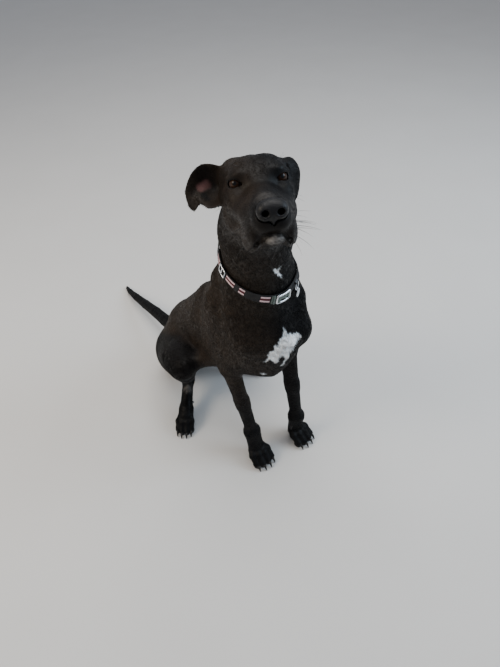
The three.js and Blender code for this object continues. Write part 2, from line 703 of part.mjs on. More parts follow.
function sheet(rows, across, along, thick) {
  const point = (u, v) => spline(rows.map((row) => spline(row, u)), v);
  const points = [];
  for (const back of [0, 1])
    for (let j = 0; j <= along; j++)
      for (let i = 0; i <= across; i++) {
        const [u, v] = [i / across, j / along];
        const h = 0.02;
        const du = sub(point(Math.min(u + h, 1), v), point(Math.max(u - h, 0), v));
        const dv = sub(point(u, Math.min(v + h, 1)), point(u, Math.max(v - h, 0)));
        const edge = Math.min(1, 4 * Math.min(u, 1 - u), 5 * (1 - v));
        const t = thick * (0.45 + 0.55 * edge) * (back ? 0.5 : -0.5);
        points.push(...add(point(u, v), unit(cross(du, dv)), t));
      }
  const w = across + 1;
  const layer = w * (along + 1);
  const triangles = [];
  for (let j = 0; j < along; j++)
    for (let i = 0; i < across; i++) {
      const a = j * w + i;
      const b = a + layer;
      triangles.push(a, a + w, a + 1, a + 1, a + w, a + w + 1);
      triangles.push(b, b + 1, b + w, b + 1, b + w + 1, b + w);
    }
  const rim = [];
  for (let i = 0; i < across; i++) rim.push(i);
  for (let j = 0; j < along; j++) rim.push(j * w + across);
  for (let i = across; i > 0; i--) rim.push(along * w + i);
  for (let j = along; j > 0; j--) rim.push(j * w);
  rim.forEach((a, i) => {
    const b = rim[(i + 1) % rim.length];
    triangles.push(a, b, a + layer, b, b + layer, a + layer);
  });
  return outward({ points, triangles });
}

// The right ear is thrown open and shows its inside. The left one hangs. Rows run from the root to the tip.
const EAR_THICK = 5;
const RIGHT_EAR = [
  [[-85, -50, 26], [-96, -50, 12], [-102, -52, -8], [-88, -54, -24], [-70, -56, -32]],
  [[-86, -76, 37], [-102, -80, 20], [-110, -80, -4], [-94, -82, -26], [-66, -86, -40]],
  [[-90, -98, 38], [-101, -102, 20], [-106, -103, 0], [-92, -103, -20], [-70, -98, -37]],
  [[-92, -119, 22], [-96, -120, 8], [-97, -118, -6], [-90, -114, -18], [-79, -107, -29]],
  [[-90, -133, -6], [-91, -128, -14], [-90, -123, -20], [-87, -118, -26], [-82, -113, -32]],
  [[-84, -131, -31], [-83, -128, -36], [-82, -125, -39], [-81, -121, -40], [-80, -118, -38]],
];
const LEFT_EAR = [
  [[-60, 48, 20], [-74, 48, 25], [-90, 48, 26], [-106, 46, 22], [-118, 44, 15]],
  [[-58, 62, 22], [-74, 71, 27], [-91, 74, 27], [-108, 71, 21], [-122, 65, 12]],
  [[-56, 66, 6], [-74, 82, 8], [-92, 88, 7], [-110, 85, 2], [-126, 77, -5]],
  [[-58, 67, -17], [-74, 80, -17], [-90, 86, -19], [-106, 84, -21], [-120, 79, -23]],
  [[-64, 69, -37], [-75, 76, -39], [-86, 79, -41], [-97, 78, -41], [-106, 76, -39]],
  [[-73, 72, -46], [-79, 73, -49], [-84, 74, -50], [-90, 74, -49], [-95, 74, -46]],
];

function ear(rows) {
  return sheet(rows.map((row) => row.map((p) => HEAD.at(...p))), 9, 12, EAR_THICK);
}

function ball(at, radius, across = 16, down = 11) {
  const geometry = new THREE.SphereGeometry(radius, across, down);
  geometry.rotateX(-Math.PI / 2);
  geometry.translate(...at);
  return solidOfGeometry(geometry);
}

// The collar's ring: around the neck in a tilted plane, lower in front
function collarFrame() {
  const [tilt, turn] = [radians(COLLAR.tilt), radians(COLLAR.turn)];
  const front = [-Math.sin(turn) * Math.cos(tilt), -Math.cos(turn) * Math.cos(tilt), -Math.sin(tilt)];
  return frame(COLLAR.at, front, [0, 0, 1]);
}

// How far the neck's skin is from the collar's axis, in one direction and at one height of the band
function neckReach(ring, angle, height) {
  const out = ring.along(Math.cos(angle), Math.sin(angle), 0);
  const from = ring.at(0, 0, height);
  let r = 40;
  while (r < 160 && flesh.at(...add(from, out, r)) < 0) r += 1;
  let [low, high] = [r - 1, r];
  for (let i = 0; i < 12; i++) {
    const middle = (low + high) / 2;
    if (flesh.at(...add(from, out, middle)) < 0) low = middle;
    else high = middle;
  }
  return high;
}

const COLLAR_STEPS = 60;

// The reach of the neck at both edges of the band, smoothed a little as webbing bridges the hollows
function collarEdges(ring) {
  return [-1, 1].map((end) => {
    const reach = Array.from({ length: COLLAR_STEPS }, (_, i) =>
      neckReach(ring, (i / COLLAR_STEPS) * 2 * Math.PI, (end * COLLAR.width) / 2)
    );
    return reach.map((_, i) => {
      const near = [-2, -1, 0, 1, 2].map((n) => reach[(i + n + COLLAR_STEPS) % COLLAR_STEPS]);
      return Math.max(reach[i], near.reduce((a, b) => a + b) / 5) + COLLAR.clearance;
    });
  });
}

// A point on the collar: angle from its front (radians), height in the band (-1 to 1), distance off its
// inner face
function onCollar(ring, edges, angle, height, off) {
  const x = (((angle / (2 * Math.PI)) % 1) + 1) % 1 * COLLAR_STEPS;
  const [i, f] = [Math.floor(x) % COLLAR_STEPS, x % 1];
  const [low, high] = edges.map((edge) => edge[i] * (1 - f) + edge[(i + 1) % COLLAR_STEPS] * f);
  const r = low + ((high - low) * (height + 1)) / 2 + off;
  return ring.at(Math.cos(angle) * r, Math.sin(angle) * r, (height * COLLAR.width) / 2);
}

// A strip along the collar between two angles. A whole turn makes a closed ring. The section is a list of
// corners.
function strip(ring, edges, from, to, steps, section) {
  const whole = to - from > 6.28;
  const rows = whole ? steps : steps + 1;
  const points = [];
  for (let i = 0; i < rows; i++) {
    const angle = from + ((to - from) * i) / steps;
    for (const [height, off] of section) points.push(...onCollar(ring, edges, angle, height, off));
  }
  const n = section.length;
  const triangles = [];
  for (let i = 0; i < steps; i++)
    for (let c = 0; c < n; c++) {
      const d = (c + 1) % n;
      const next = ((i + 1) % rows) * n;
      triangles.push(i * n + c, next + c, i * n + d, i * n + d, next + c, next + d);
    }
  if (!whole)
    for (let c = 1; c + 1 < n; c++) {
      const last = steps * n;
      triangles.push(0, c, c + 1, last, last + c + 1, last + c);
    }
  return outward({ points, triangles });
}

// The same mesh with its faces turned outwards
function outward({ points, triangles }) {
  const solid = solidOf({ points, triangles });
  if (solid.volume() > 0) return solid;
  return solidOf({ points, triangles: triangles.map((_, i) => triangles[i - (i % 3) + [0, 2, 1][i % 3]]) });
}

const bar = (half, low, high) => [[-half, low], [-half, high], [half, high], [half, low]];
const rounded = (half, low, high) => [
  [-half, low],
  [-half, (low + high) / 2],
  [-half * 0.82, high],
  [half * 0.82, high],
  [half, (low + high) / 2],
  [half, low],
];

function wireRing(at, forward, up, radius, wire, around = 20) {
  const geometry = new THREE.TorusGeometry(radius, wire, 6, around);
  const f = frame(at, forward, up);
  const [normal, side, top] = f.axes.map((axis) => new THREE.Vector3(...axis));
  geometry.applyMatrix4(new THREE.Matrix4().makeBasis(side, top, normal));
  geometry.translate(...at);
  return solidOfGeometry(geometry);
}

function disc(at, normal, radius, thick) {
  const geometry = new THREE.CylinderGeometry(radius, radius, thick, 24);
  const y = new THREE.Vector3(0, 1, 0);
  geometry.applyQuaternion(new THREE.Quaternion().setFromUnitVectors(y, new THREE.Vector3(...unit(normal))));
  geometry.translate(...at);
  return solidOfGeometry(geometry);
}

const COLOURS = {
  coat: [0x161413, 0.55],
  nose: [0x0b0b0c, 0.3],
  eye: [0x4a2d16, 0.08],
  webbing: [0x131316, 0.8],
  plastic: [0x6f756f, 0.45],
  metal: [0xb9bcc0, 0.3],
};

function collarParts() {
  const ring = collarFrame();
  const edges = collarEdges(ring);
  const off = COLLAR.thick + GAP;
  const piece = ({ angle, half, thick }, section, steps) =>
    strip(ring, edges, radians(angle - half), radians(angle + half), steps, section(1.04, off, off + thick));
  const band = strip(ring, edges, 0, 2 * Math.PI, COLLAR_STEPS, bar(1, 0, COLLAR.thick));
  const buckle = piece(BUCKLE, rounded, 8);
  const slider = piece(SLIDER, bar, 4);

  const angle = radians(RING.angle);
  const hang = onCollar(ring, edges, angle, (2 * RING.height) / COLLAR.width, off + RING.wire + 1.6);
  const below = neckReach(ring, angle, RING.height - 36) + 6;
  const low = ring.at(Math.cos(angle) * below, Math.sin(angle) * below, RING.height - 36);
  const down = unit(sub(low, hang));
  const side = unit(ring.along(-Math.sin(angle), Math.cos(angle), 0));
  const outwards = unit(cross(down, side));
  const loopRing = wireRing(hang, outwards, add([0, 0, 0], down, -1), RING.radius, RING.wire);
  const keeperSection = [[-0.1, off], [-0.1, off + 6], [0.45, off + 6], [0.45, off]];
  const keeper = strip(ring, edges, angle - 0.05, angle + 0.05, 2, keeperSection);
  const lowest = add(hang, down, RING.radius);
  const link = wireRing(add(add(lowest, down, 1.4), outwards, 0.6), side, outwards, 4.4, 0.8, 12);
  const eyelet = add(add(lowest, down, 5.6), outwards, 2.4);
  const tag = disc(add(eyelet, down, TAG.radius - 4), outwards, TAG.radius, TAG.thick);
  const hole = disc(eyelet, outwards, 2.2, 6);
  return {
    collar_band: [band, "webbing"],
    collar_buckle: [buckle, "plastic"],
    collar_slider: [slider, "metal"],
    collar_ring: [loopRing, "metal"],
    collar_keeper: [keeper.subtract(grown(loopRing, 0.4)), "webbing"],
    collar_link: [link.subtract(grown(loopRing, 0.35)), "metal"],
    collar_tag: [tag.subtract(hole).subtract(grown(link, 0.35)).subtract(grown(loopRing, 0.35)), "metal"],
  };
}

function headParts() {
  const neckPlane = [[-27, 82, 862], [-0.12, -0.15, 0.98]];
  const coarse = meshed(flesh, [-270, -180, 800], [110, 190, 1110], 3.4, 3800);
  let head = largest(keep(coarse, ...neckPlane));
  const nose = meshed(noseField(), [-240, -180, 940], [-70, -40, 1090], 2.4, 540);
  head = head.subtract(grown(nose, 0.5));
  const parts = { nose: [nose, "nose"] };
  for (const side of SIDES) {
    const at = HEAD.at(EYE_AT[0], EYE_AT[1] * side, EYE_AT[2]);
    head = head.subtract(ball(at, EYE_RADIUS + 0.5));
    parts[`eye_${SIDE_NAME[side]}`] = [ball(at, EYE_RADIUS), "eye"];
  }
  head = largest(head);
  const cutter = grown(head, 0.4);
  parts.ear_right = [largest(ear(RIGHT_EAR).subtract(cutter)), "coat"];
  parts.ear_left = [largest(ear(LEFT_EAR).subtract(cutter)), "coat"];
  parts.head = [head, "coat"];
  return parts;
}

function bodyParts() {
  const parts = {};
  let body = meshed(flesh, [-300, -110, -24], [300, 660, 900], 8, 4300);
  body = onFloor(body);
  body = keep(body, [-27, 82, 862], [0.12, 0.15, -0.98]);
  const collarPlane = [[0, 120, 630], [-0.03, -0.28, 0.96]];
  parts.neck = [largest(keep(body, ...collarPlane)), "coat"];
  body = keep(body, collarPlane[0], collarPlane[1].map((x) => -x));

  const tailPlane = [[0, 604, 118], [0, 0.97, -0.23]];
  const tail = meshed(flesh, [-50, 570, -16], [70, 1110, 190], 4.4, 640);
  parts.tail = [largest(keep(onFloor(tail), ...tailPlane)), "coat"];
  body = keep(body, tailPlane[0], tailPlane[1].map((x) => -x));

  for (const side of SIDES) {
    const name = SIDE_NAME[side];
    const at = ([x, y, z]) => [side * x, y, z];

    const fore = forePawZone(side);
    const forePaw = meshed(flesh, fore.low, fore.high, 3.2, 720);
    parts[`forepaw_${name}`] = [largest(keep(onFloor(forePaw), fore.at, [0, 0, -1])), "coat"];
    body = body.subtract(box(fore.low, [fore.high[0], fore.high[1], fore.at[2] + GAP / 2]));

    const hind = hindPawZone(side);
    const hindPaw = meshed(flesh, hind.low, hind.high, 3.2, 680);
    parts[`hindpaw_${name}`] = [largest(keep(onFloor(hindPaw), hind.at, hind.normal)), "coat"];
    body = body.subtract(keep(box(hind.low, hind.high), add(hind.at, hind.normal, -GAP), hind.normal));

    const belowElbow = mix(ELBOW[side], CARPUS[side], 0.24);
    body = body.subtract(slab(belowElbow, sub(CARPUS[side], ELBOW[side]), [120, 130]));
    body = body.subtract(slab(at([76, 425, 150]), at([0.98, 0, -0.2]), [480, 480]));
  }
  const leftover = body.decompose().sort((a, b) => b.volume() - a.volume());
  parts.torso = [leftover[0], "coat"];
  for (const side of SIDES) {
    const name = SIDE_NAME[side];
    const at = ([x, y, z]) => [side * x, y, z];
    const [hip, knee, hock] = [HIP, KNEE, HOCK].map(at);
    const near = (p) => (solid) => {
      const { min, max } = solid.boundingBox();
      return [0, 1, 2].every((i) => p[i] > min[i] - 4 && p[i] < max[i] + 4);
    };
    const limbs = leftover.slice(1);
    parts[`foreleg_${name}`] = [limbs.find(near(mix(ELBOW[side], CARPUS[side], 0.5))), "coat"];
    const leg = limbs.find(near(mix(hip, knee, 0.6)));
    const fold = [mix(mix(hip, hock, 0.5), knee, 0.1), sub(hip, hock)];
    const along = unit(sub(knee, mix(hip, hock, 0.5)));
    const normal = add(fold[1], along, -dot(fold[1], along));
    parts[`thigh_${name}`] = [largest(keep(leg, fold[0], normal)), "coat"];
    parts[`hindleg_${name}`] = [largest(keep(leg, fold[0], add([0, 0, 0], normal, -1))), "coat"];
  }
  return parts;
}

function box(low, high) {
  const geometry = new THREE.BoxGeometry(...sub(high, low));
  geometry.translate(...mix(low, high, 0.5));
  return solidOfGeometry(geometry);
}

function forePawZone(side) {
  const [x, y] = CARPUS[side];
  return { low: [x - 62, y - 150, -20], high: [x + 62, y + 48, 100], at: [x, y, 84] };
}

function hindPawZone(side) {
  const hock = [side * HOCK[0], HOCK[1], HOCK[2]];
  const toes = HIND_TOES[side];
  const at = mix(hock, toes, 0.36);
  const normal = unit(sub(toes, hock));
  const low = [Math.min(side * 100, side * 265), 205, -20];
  const high = [Math.max(side * 100, side * 265), 380, 110];
  return { at, normal, low, high };
}

function build() {
  const parts = { ...headParts(), ...bodyParts(), ...collarParts() };
  const group = new THREE.Group();
  group.name = "great_dane";
  for (const [name, [solid, look]] of Object.entries(parts)) {
    const [color, roughness] = COLOURS[look];
    const metalness = look === "metal" ? 1 : 0;
    const material = new THREE.MeshStandardMaterial({ color, roughness, metalness });
    const mesh = new THREE.Mesh(geometryOf(solid), material);
    mesh.name = name;
    group.add(mesh);
  }
  // The middle of the floor under the whole dog becomes the origin
  const bounds = new THREE.Box3().setFromObject(group);
  const middle = bounds.getCenter(new THREE.Vector3());
  for (const mesh of group.children) mesh.geometry.translate(-middle.x, -middle.y, -bounds.min.z);
  return group;
}

export default build();
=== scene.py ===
# A sitting great dane, life size: short black coat, drop ears, a webbing collar with a buckle, ring and tag.
# Lengths are millimetres in the dog's own frame until a mesh is made. Its chest faces -Y, its left side +X,
# and the floor is at z = 0.
import math
from functools import partial

import bmesh
import bpy
import numpy as np
from mathutils import Matrix, Vector
from mathutils.bvhtree import BVHTree


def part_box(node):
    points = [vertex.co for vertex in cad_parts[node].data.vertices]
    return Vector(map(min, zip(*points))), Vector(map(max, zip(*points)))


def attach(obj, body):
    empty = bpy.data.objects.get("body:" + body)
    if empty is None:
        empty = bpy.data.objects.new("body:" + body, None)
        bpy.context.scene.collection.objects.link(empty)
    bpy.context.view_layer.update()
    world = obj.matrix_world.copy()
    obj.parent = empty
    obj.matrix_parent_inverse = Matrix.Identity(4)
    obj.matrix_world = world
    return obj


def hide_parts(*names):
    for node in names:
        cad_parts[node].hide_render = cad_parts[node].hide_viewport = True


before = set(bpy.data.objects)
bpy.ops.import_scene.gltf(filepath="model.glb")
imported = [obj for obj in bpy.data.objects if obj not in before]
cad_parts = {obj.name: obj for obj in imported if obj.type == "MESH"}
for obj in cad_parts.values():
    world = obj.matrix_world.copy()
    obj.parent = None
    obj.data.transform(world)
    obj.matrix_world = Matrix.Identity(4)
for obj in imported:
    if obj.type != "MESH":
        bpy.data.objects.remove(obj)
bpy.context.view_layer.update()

# Head's own frame, and the step from the dog's frame to the model's
# The head is turned to the dog's right, raised and tilted a little. Its frame counts forward along the
# muzzle, left and up from the point between the eyes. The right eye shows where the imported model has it.
PER_METRE = 1000
HEAD_AT = (-75, -1, 1001)
HEAD_YAW, HEAD_PITCH, HEAD_ROLL = (math.radians(a) for a in (32, 26.5, 3))
EYE_RADIUS = 13.2
EYE_AT = (-11, 39, 0)
SIDES = {"right": -1, "left": 1}


def unit(v):
    v = np.asarray(v, float)
    return v / np.linalg.norm(v)


def units(rows):
    return rows / np.linalg.norm(rows, axis=1)[:, None]


class Axes:
    """A place with its own forward, left and up axes."""

    def __init__(self, origin, forward, up):
        self.origin = np.asarray(origin, float)
        forward = unit(forward)
        left = unit(np.cross(up, forward))
        self.rows = np.array([forward, left, np.cross(forward, left)])

    def along(self, *v):
        return np.asarray(v, float) @ self.rows

    def at(self, *v):
        return self.origin + self.along(*v)


def head_axes():
    flat = np.array([-math.sin(HEAD_YAW), -math.cos(HEAD_YAW), 0])
    side = np.array([math.cos(HEAD_YAW), -math.sin(HEAD_YAW), 0])
    z = np.array([0, 0, 1])
    forward = flat * math.cos(HEAD_PITCH) + z * math.sin(HEAD_PITCH)
    up = z * math.cos(HEAD_PITCH) - flat * math.sin(HEAD_PITCH)
    return Axes(HEAD_AT, forward, up * math.cos(HEAD_ROLL) - side * math.sin(HEAD_ROLL))


HEAD = head_axes()
BODY = Axes((0, 0, 0), (0, -1, 0), (0, 0, 1))


def on_head(side, ahead, out, up):
    """A place in the head's frame, counted outwards to the given side."""
    return HEAD.at(ahead, out * side, up)


eye_low, eye_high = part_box("eye_right")
SHIFT = on_head(SIDES["right"], *EYE_AT) / PER_METRE - np.array((eye_low + eye_high) / 2)


def place(points):
    """Points of the dog's frame, in the model's metres."""
    return np.asarray(points, float) / PER_METRE - SHIFT


# Studio
# The camera stands where the photograph was taken: at standing height, in front of the dog's right shoulder.
# A plain pale floor, a broad soft light above, a cool one on the dog's left and a warm one on its right.
CAMERA_AT = (-574.9, -617.6, 1430)
SENSOR = 36
PICTURE_TALL, FOCAL_LENGTH = 667, 490
VIEW_RIGHT = (0.7773, -0.62826, -0.03314)
VIEW_UP = (0.46813, 0.54237, 0.69763)
VIEW_BACK = (-0.42032, -0.55778, 0.71569)

camera_data = bpy.data.cameras.new("camera")
camera_data.sensor_width = SENSOR
camera_data.lens = FOCAL_LENGTH / PICTURE_TALL * SENSOR
camera_data.clip_start = 0.05
camera = bpy.data.objects.new("camera", camera_data)
turn = Matrix((VIEW_RIGHT, VIEW_UP, VIEW_BACK)).transposed().to_4x4()
camera.matrix_world = Matrix.Translation(place(CAMERA_AT)) @ turn
bpy.context.scene.collection.objects.link(camera)
bpy.context.scene.camera = camera


def softbox(name, at, aim, size, watts, colour):
    lamp = bpy.data.lights.new(name, "AREA")
    lamp.shape = "RECTANGLE"
    lamp.size, lamp.size_y = size
    lamp.energy = watts
    lamp.color = colour
    box = bpy.data.objects.new(name, lamp)
    box.location = at
    box.rotation_euler = (Vector(aim) - Vector(at)).to_track_quat("-Z", "Y").to_euler()
    bpy.context.scene.collection.objects.link(box)


softbox("top_light", (0.3, -0.1, 3.4), (0, 0, 0.4), (2.2, 2.2), 80, (1.0, 0.98, 0.95))
softbox("sky_light", (2.5, -2.0, 2.4), (0, 0, 0.6), (2.0, 1.8), 85, (0.7, 0.85, 1.0))
softbox("warm_light", (-2.5, 0.7, 2.5), (0, 0, 0.5), (1.4, 1.4), 62, (1.0, 0.88, 0.72))

world = bpy.data.worlds.new("studio")
world.use_nodes = True
sky = world.node_tree.nodes["Background"]
sky.inputs["Color"].default_value = (0.86, 0.9, 1.0, 1)
sky.inputs["Strength"].default_value = 0.42
bpy.context.scene.world = world


class Nodes:
    """Short ways to add and join the nodes of one material or node tree."""

    def __init__(self, tree):
        self.tree = tree

    def add(self, kind, **settings):
        node = self.tree.nodes.new(kind)
        for name, value in settings.items():
            setattr(node, name, value)
        return node

    def put(self, socket, value):
        if isinstance(value, bpy.types.NodeSocket):
            self.tree.links.new(value, socket)
        elif value is not None:
            socket.default_value = value

    def math(self, operation, a, b=None, c=None):
        node = self.add("ShaderNodeMath", operation=operation)
        for socket, value in zip(node.inputs, (a, b, c)):
            self.put(socket, value)
        return node.outputs[0]

    def noise(self, vector, scale, detail=2.0, rough=0.5):
        node = self.add("ShaderNodeTexNoise")
        self.put(node.inputs["Vector"], vector)
        self.put(node.inputs["Scale"], scale)
        self.put(node.inputs["Detail"], detail)
        self.put(node.inputs["Roughness"], rough)
        return node.outputs["Fac"]

    def spread(self, value, low, high, to_low=0.0, to_high=1.0):
        node = self.add("ShaderNodeMapRange")
        names = ("Value", "From Min", "From Max", "To Min", "To Max")
        for name, x in zip(names, (value, low, high, to_low, to_high)):
            self.put(node.inputs[name], x)
        return node.outputs[0]

    def uneven(self, vector, scale, detail, low, high):
        """A value that wanders between low and high over the surface."""
        return self.spread(self.noise(vector, scale, detail), 0.3, 0.7, low, high)

    def within(self, value, middle, half):
        """One where the value is less than half from the middle, else nought."""
        gap = self.math("ABSOLUTE", self.math("SUBTRACT", value, middle))
        return self.math("LESS_THAN", gap, half)

    def mix(self, factor, a, b):
        node = self.add("ShaderNodeMix", data_type="RGBA")
        self.put(node.inputs[0], factor)
        for socket, value in zip((node.inputs[6], node.inputs[7]), (a, b)):
            self.put(socket, (*value, 1) if isinstance(value, tuple) else value)
        return node.outputs[2]

    def bump(self, height, strength, distance, normal=None):
        node = self.add("ShaderNodeBump")
        names = ("Height", "Strength", "Distance", "Normal")
        for name, x in zip(names, (height, strength, distance, normal)):
            self.put(node.inputs[name], x)
        return node.outputs[0]


def surface(name, **fixed):
    """A new material, its nodes and its shader. The fixed values sit on the shader's own sockets."""
    material = bpy.data.materials.new(name)
    material.use_nodes = True
    shader = material.node_tree.nodes["Principled BSDF"]
    for key, value in fixed.items():
        shader.inputs[key.replace("_", " ")].default_value = value
    return material, Nodes(material.node_tree), shader


def finish(name, tones, grain, shine=None, relief=None, **fixed):
    """A material that wanders between two tones, with uneven shine and a fine relief.

    grain: the tones' scale and detail; shine: scale, detail, lowest and highest roughness; relief: scale,
    detail, strength and depth.
    """
    made, n, shader = surface(name, **fixed)
    spot = n.add("ShaderNodeTexCoord").outputs["Object"]
    n.put(shader.inputs["Base Color"], n.mix(n.noise(spot, *grain), *tones))
    if shine:
        n.put(shader.inputs["Roughness"], n.uneven(spot, *shine))
    if relief:
        scale, detail, strength, depth = relief
        n.put(shader.inputs["Normal"], n.bump(n.noise(spot, scale, detail), strength, depth))
    return made


floor_paint = finish(
    "floor_paint",
    tones=((0.60, 0.59, 0.57), (0.64, 0.63, 0.61)),
    grain=(3.0, 2.0),
    relief=(260.0, 2.0, 0.15, 0.001),
    Roughness=0.85,
)
FLOOR_HALF = 9
floor_mesh = bpy.data.meshes.new("floor")
floor_corners = [(x * FLOOR_HALF, y * FLOOR_HALF, 0) for x, y in ((-1, -1), (1, -1), (1, 1), (-1, 1))]
floor_mesh.from_pydata(floor_corners, [], [(0, 1, 2, 3)])
floor_mesh.materials.append(floor_paint)
floor = bpy.data.objects.new("floor", floor_mesh)
bpy.context.scene.collection.objects.link(floor)


# Skin
# One skin over muscle and bone, from nose to tail, with the short coat lying on it. The flesh is a field of
# named muscles and bones that flow into each other; the skin is drawn a coat's depth inside it.
COAT_DEPTH = 1.2
ELBOW = {-1: (-80, 140, 378), 1: (95, 95, 378)}
CARPUS = {-1: (-62, 77, 106), 1: (83, 29, 106)}
FORE_TOES = {-1: (-70, -17, 0), 1: (90, -40, 0)}
HIND_TOES = {-1: (-218, 254, 0), 1: (204, 288, 0)}
HIP, KNEE, HOCK = (80, 470, 175), (148, 300, 283), (93, 395, 90)
FORE_PAW = {"width": 80, "length": 74, "height": 46}
HIND_PAW = {"width": 70, "length": 70, "height": 42}
CLAW_LENGTH = 15
TOES = (-1, -0.36, 0.36, 1)
LID = 3.2
X = (1, 0, 0)


def mix(a, b, t):
    return np.asarray(a, float) * (1 - t) + np.asarray(b, float) * t


def plus(a, *b):
    return np.asarray(a, float) + np.asarray(b, float)


def mirrored(p, side):
    return np.array([p[0] * side, p[1], p[2]], float)


def limb(a, b, ra, rb, side=None, flat=1.0):
    """A round-ended taper from a to b; with side and flat its section is an ellipse, flat times as thick."""
    a, b = np.asarray(a, float), np.asarray(b, float)
    w = b - a
    long2 = max(w @ w, 1e-9)
    s = None if side is None else unit(side)

    def at(p):
        q = p - a
        t = np.clip(q @ w / long2, 0, 1)
        r = ra + (rb - ra) * t
        q = q - t[:, None] * w
        q2 = np.einsum("ij,ij->i", q, q)
        if s is None:
            return np.sqrt(q2) - r
        across = (q @ s) ** 2
        rest = np.maximum(q2 - across, 0)
        thin = r * flat
        k0 = np.sqrt(rest / r**2 + across / thin**2)
        k1 = np.maximum(np.sqrt(rest / r**4 + across / thin**4), 1e-9)
        return np.where(k1 <= 1e-9, -np.minimum(r, thin), k0 * (k0 - 1) / k1)

    reach = max(ra, rb) * max(1, flat)
    return at, np.minimum(a, b) - reach, np.maximum(a, b) + reach


def egg(c, radii, axes):
    c, radii, rows = np.asarray(c, float), np.asarray(radii, float), axes.rows

    def at(p):
        q = (p - c) @ rows.T / radii
        k0 = np.sqrt(np.einsum("ij,ij->i", q, q))
        q = q / radii
        k1 = np.maximum(np.sqrt(np.einsum("ij,ij->i", q, q)), 1e-9)
        return k0 * (k0 - 1) / k1

    return at, c - radii.max(), c + radii.max()


class Field:
    """Shapes that flow into each other over a width k, or are cut away with a rounded edge."""

    def __init__(self):
        self.parts = []

    def add(self, k, *shapes):
        self.parts += [(shape, k, False) for shape in shapes]

    def cut(self, k, *shapes):
        self.parts += [(shape, k, True) for shape in shapes]

    def at(self, p):
        d = np.full(len(p), 1e4)
        for (shape, low, high), k, cut in self.parts:
            # A shape is only worked out near its own box, because farther off it changes nothing.
            margin = 12 + k if cut else 26 + 1.8 * k
            near = np.flatnonzero(((p > low - margin) & (p < high + margin)).all(1))
            if not len(near):
                continue
            e = shape(p[near])
            e = -e if cut else e
            old = d[near]
            h = np.maximum(k - np.abs(old - e), 0) / k
            d[near] = np.maximum(old, e) + h * h * k / 4 if cut else np.minimum(old, e) - h * h * k / 4
        return d

    def gradient(self, p, h=0.4):
        steps = np.eye(3) * h
        return np.stack([(self.at(p + s) - self.at(p - s)) / (2 * h) for s in steps], 1)


def add_trunk(field):
    rise = math.radians(40)
    up = (0, math.sin(rise), math.cos(rise))
    trunk = Axes((0, 0, 0), (0, -math.cos(rise), math.sin(rise)), up)
    field.add(30, egg((0, 160, 478), (172, 104, 142), trunk))
    field.add(46, limb((0, 76, 528), (0, 122, 430), 80, 76, X, 1))
    field.add(46, limb((0, 235, 366), (0, 400, 226), 93, 74, X, 0.98))
    field.add(40, limb((0, 318, 415), (0, 478, 250), 72, 68, X, 1.06))
    field.add(40, limb((0, 478, 246), (0, 536, 152), 70, 64, X, 1.06))
    field.add(34, limb((0, 180, 618), (0, 322, 474), 38, 35), limb((0, 322, 474), (0, 478, 298), 34, 35))
    field.add(36, limb((0, 6, 522), (0, 60, 396), 38, 30, X, 0.8))


def add_neck(field):
    across = (1, -0.35, 0)
    nape = HEAD.at(-128, 0, -22)
    low, middle, high = (0, 118, 600), (-4, 103, 705), (-19, 83, 830)
    field.add(55, limb(low, middle, 112, 91, across, 0.85))
    field.add(30, limb(middle, high, 91, 82, across, 0.88))
    field.add(30, limb(high, HEAD.at(-92, -4, -57), 83, 68, across, 0.93))
    field.add(30, limb((0, 182, 660), (-14, 138, 800), 46, 36), limb((-14, 138, 800), nape, 36, 40))


def add_foreleg(field, side):
    elbow, carpus = ELBOW[side], CARPUS[side]
    blade = (side * 50, elbow[1] + 44, 646)
    point = (side * 56, elbow[1] - 68, 532)
    olecranon = plus(elbow, 0, 26, 14)
    field.add(30, limb(blade, point, 30, 43, X, 0.84))
    field.add(34, limb((side * 40 - 4, elbow[1] - 28, 738), (side * 71, elbow[1] - 44, 620), 14, 28))
    field.add(26, egg(plus(point, side * 2, 16, 32), (40, 35, 56), BODY))
    field.add(24, limb(point, elbow, 40, 35, X, 0.86))
    field.add(28, limb(plus(blade, side * 22, -6, -70), olecranon, 50, 25, X, 0.7))
    field.add(16, limb(plus(elbow, 0, 0, -8), mix(elbow, carpus, 0.55), 32, 24, X, 0.82))
    field.add(14, limb(mix(elbow, carpus, 0.5), carpus, 24.5, 20.5, X, 0.9))
    field.add(12, limb(olecranon, mix(elbow, carpus, 0.6), 17, 13))
    field.add(10, egg(carpus, (23, 22.5, 24), BODY))
    field.add(8, limb(plus(carpus, 0, 20, -6), plus(carpus, 0, 26, -10), 10, 8))


def add_hindleg(field, side):
    hip, knee, hock = (mirrored(p, side) for p in (HIP, KNEE, HOCK))
    toes = HIND_TOES[side]
    outward = unit((side * 0.86, -0.1, 0.5))
    field.add(40, limb(mirrored((84, 472, 172), side), mix(hip, knee, 0.8), 84, 52, outward, 0.64))
    field.add(30, limb(mix(hip, knee, 0.62), knee, 52, 38, outward, 0.86))
    field.add(30, egg(mirrored((56, 520, 96), side), (62, 54, 99), BODY))
    field.add(22, limb(plus(knee, 0, 8, -8), mix(knee, hock, 0.55), 33, 27, outward, 0.82))
    field.add(16, limb(mix(knee, hock, 0.5), hock, 28, 19))
    field.add(12, limb(hock, plus(hock, side * -8, 24, 6), 20, 17))
    field.add(14, limb(hock, mix(hock, toes, 0.62), 19, 22))
    field.add(26, limb(plus(knee, side * -34, 0, -4), (side * 52, 236, 322), 22, 30))
    field.add(34, limb(mirrored((66, 512, 92), side), mirrored((112, 378, 190), side), 60, 34, outward, 0.8))


def paw_axes(leg, toes, paw):
    forward = unit((toes[0] - leg[0], toes[1] - leg[1], 0))
    return Axes(np.asarray(toes) - forward * (paw["length"] + CLAW_LENGTH * 0.8), forward, (0, 0, 1))


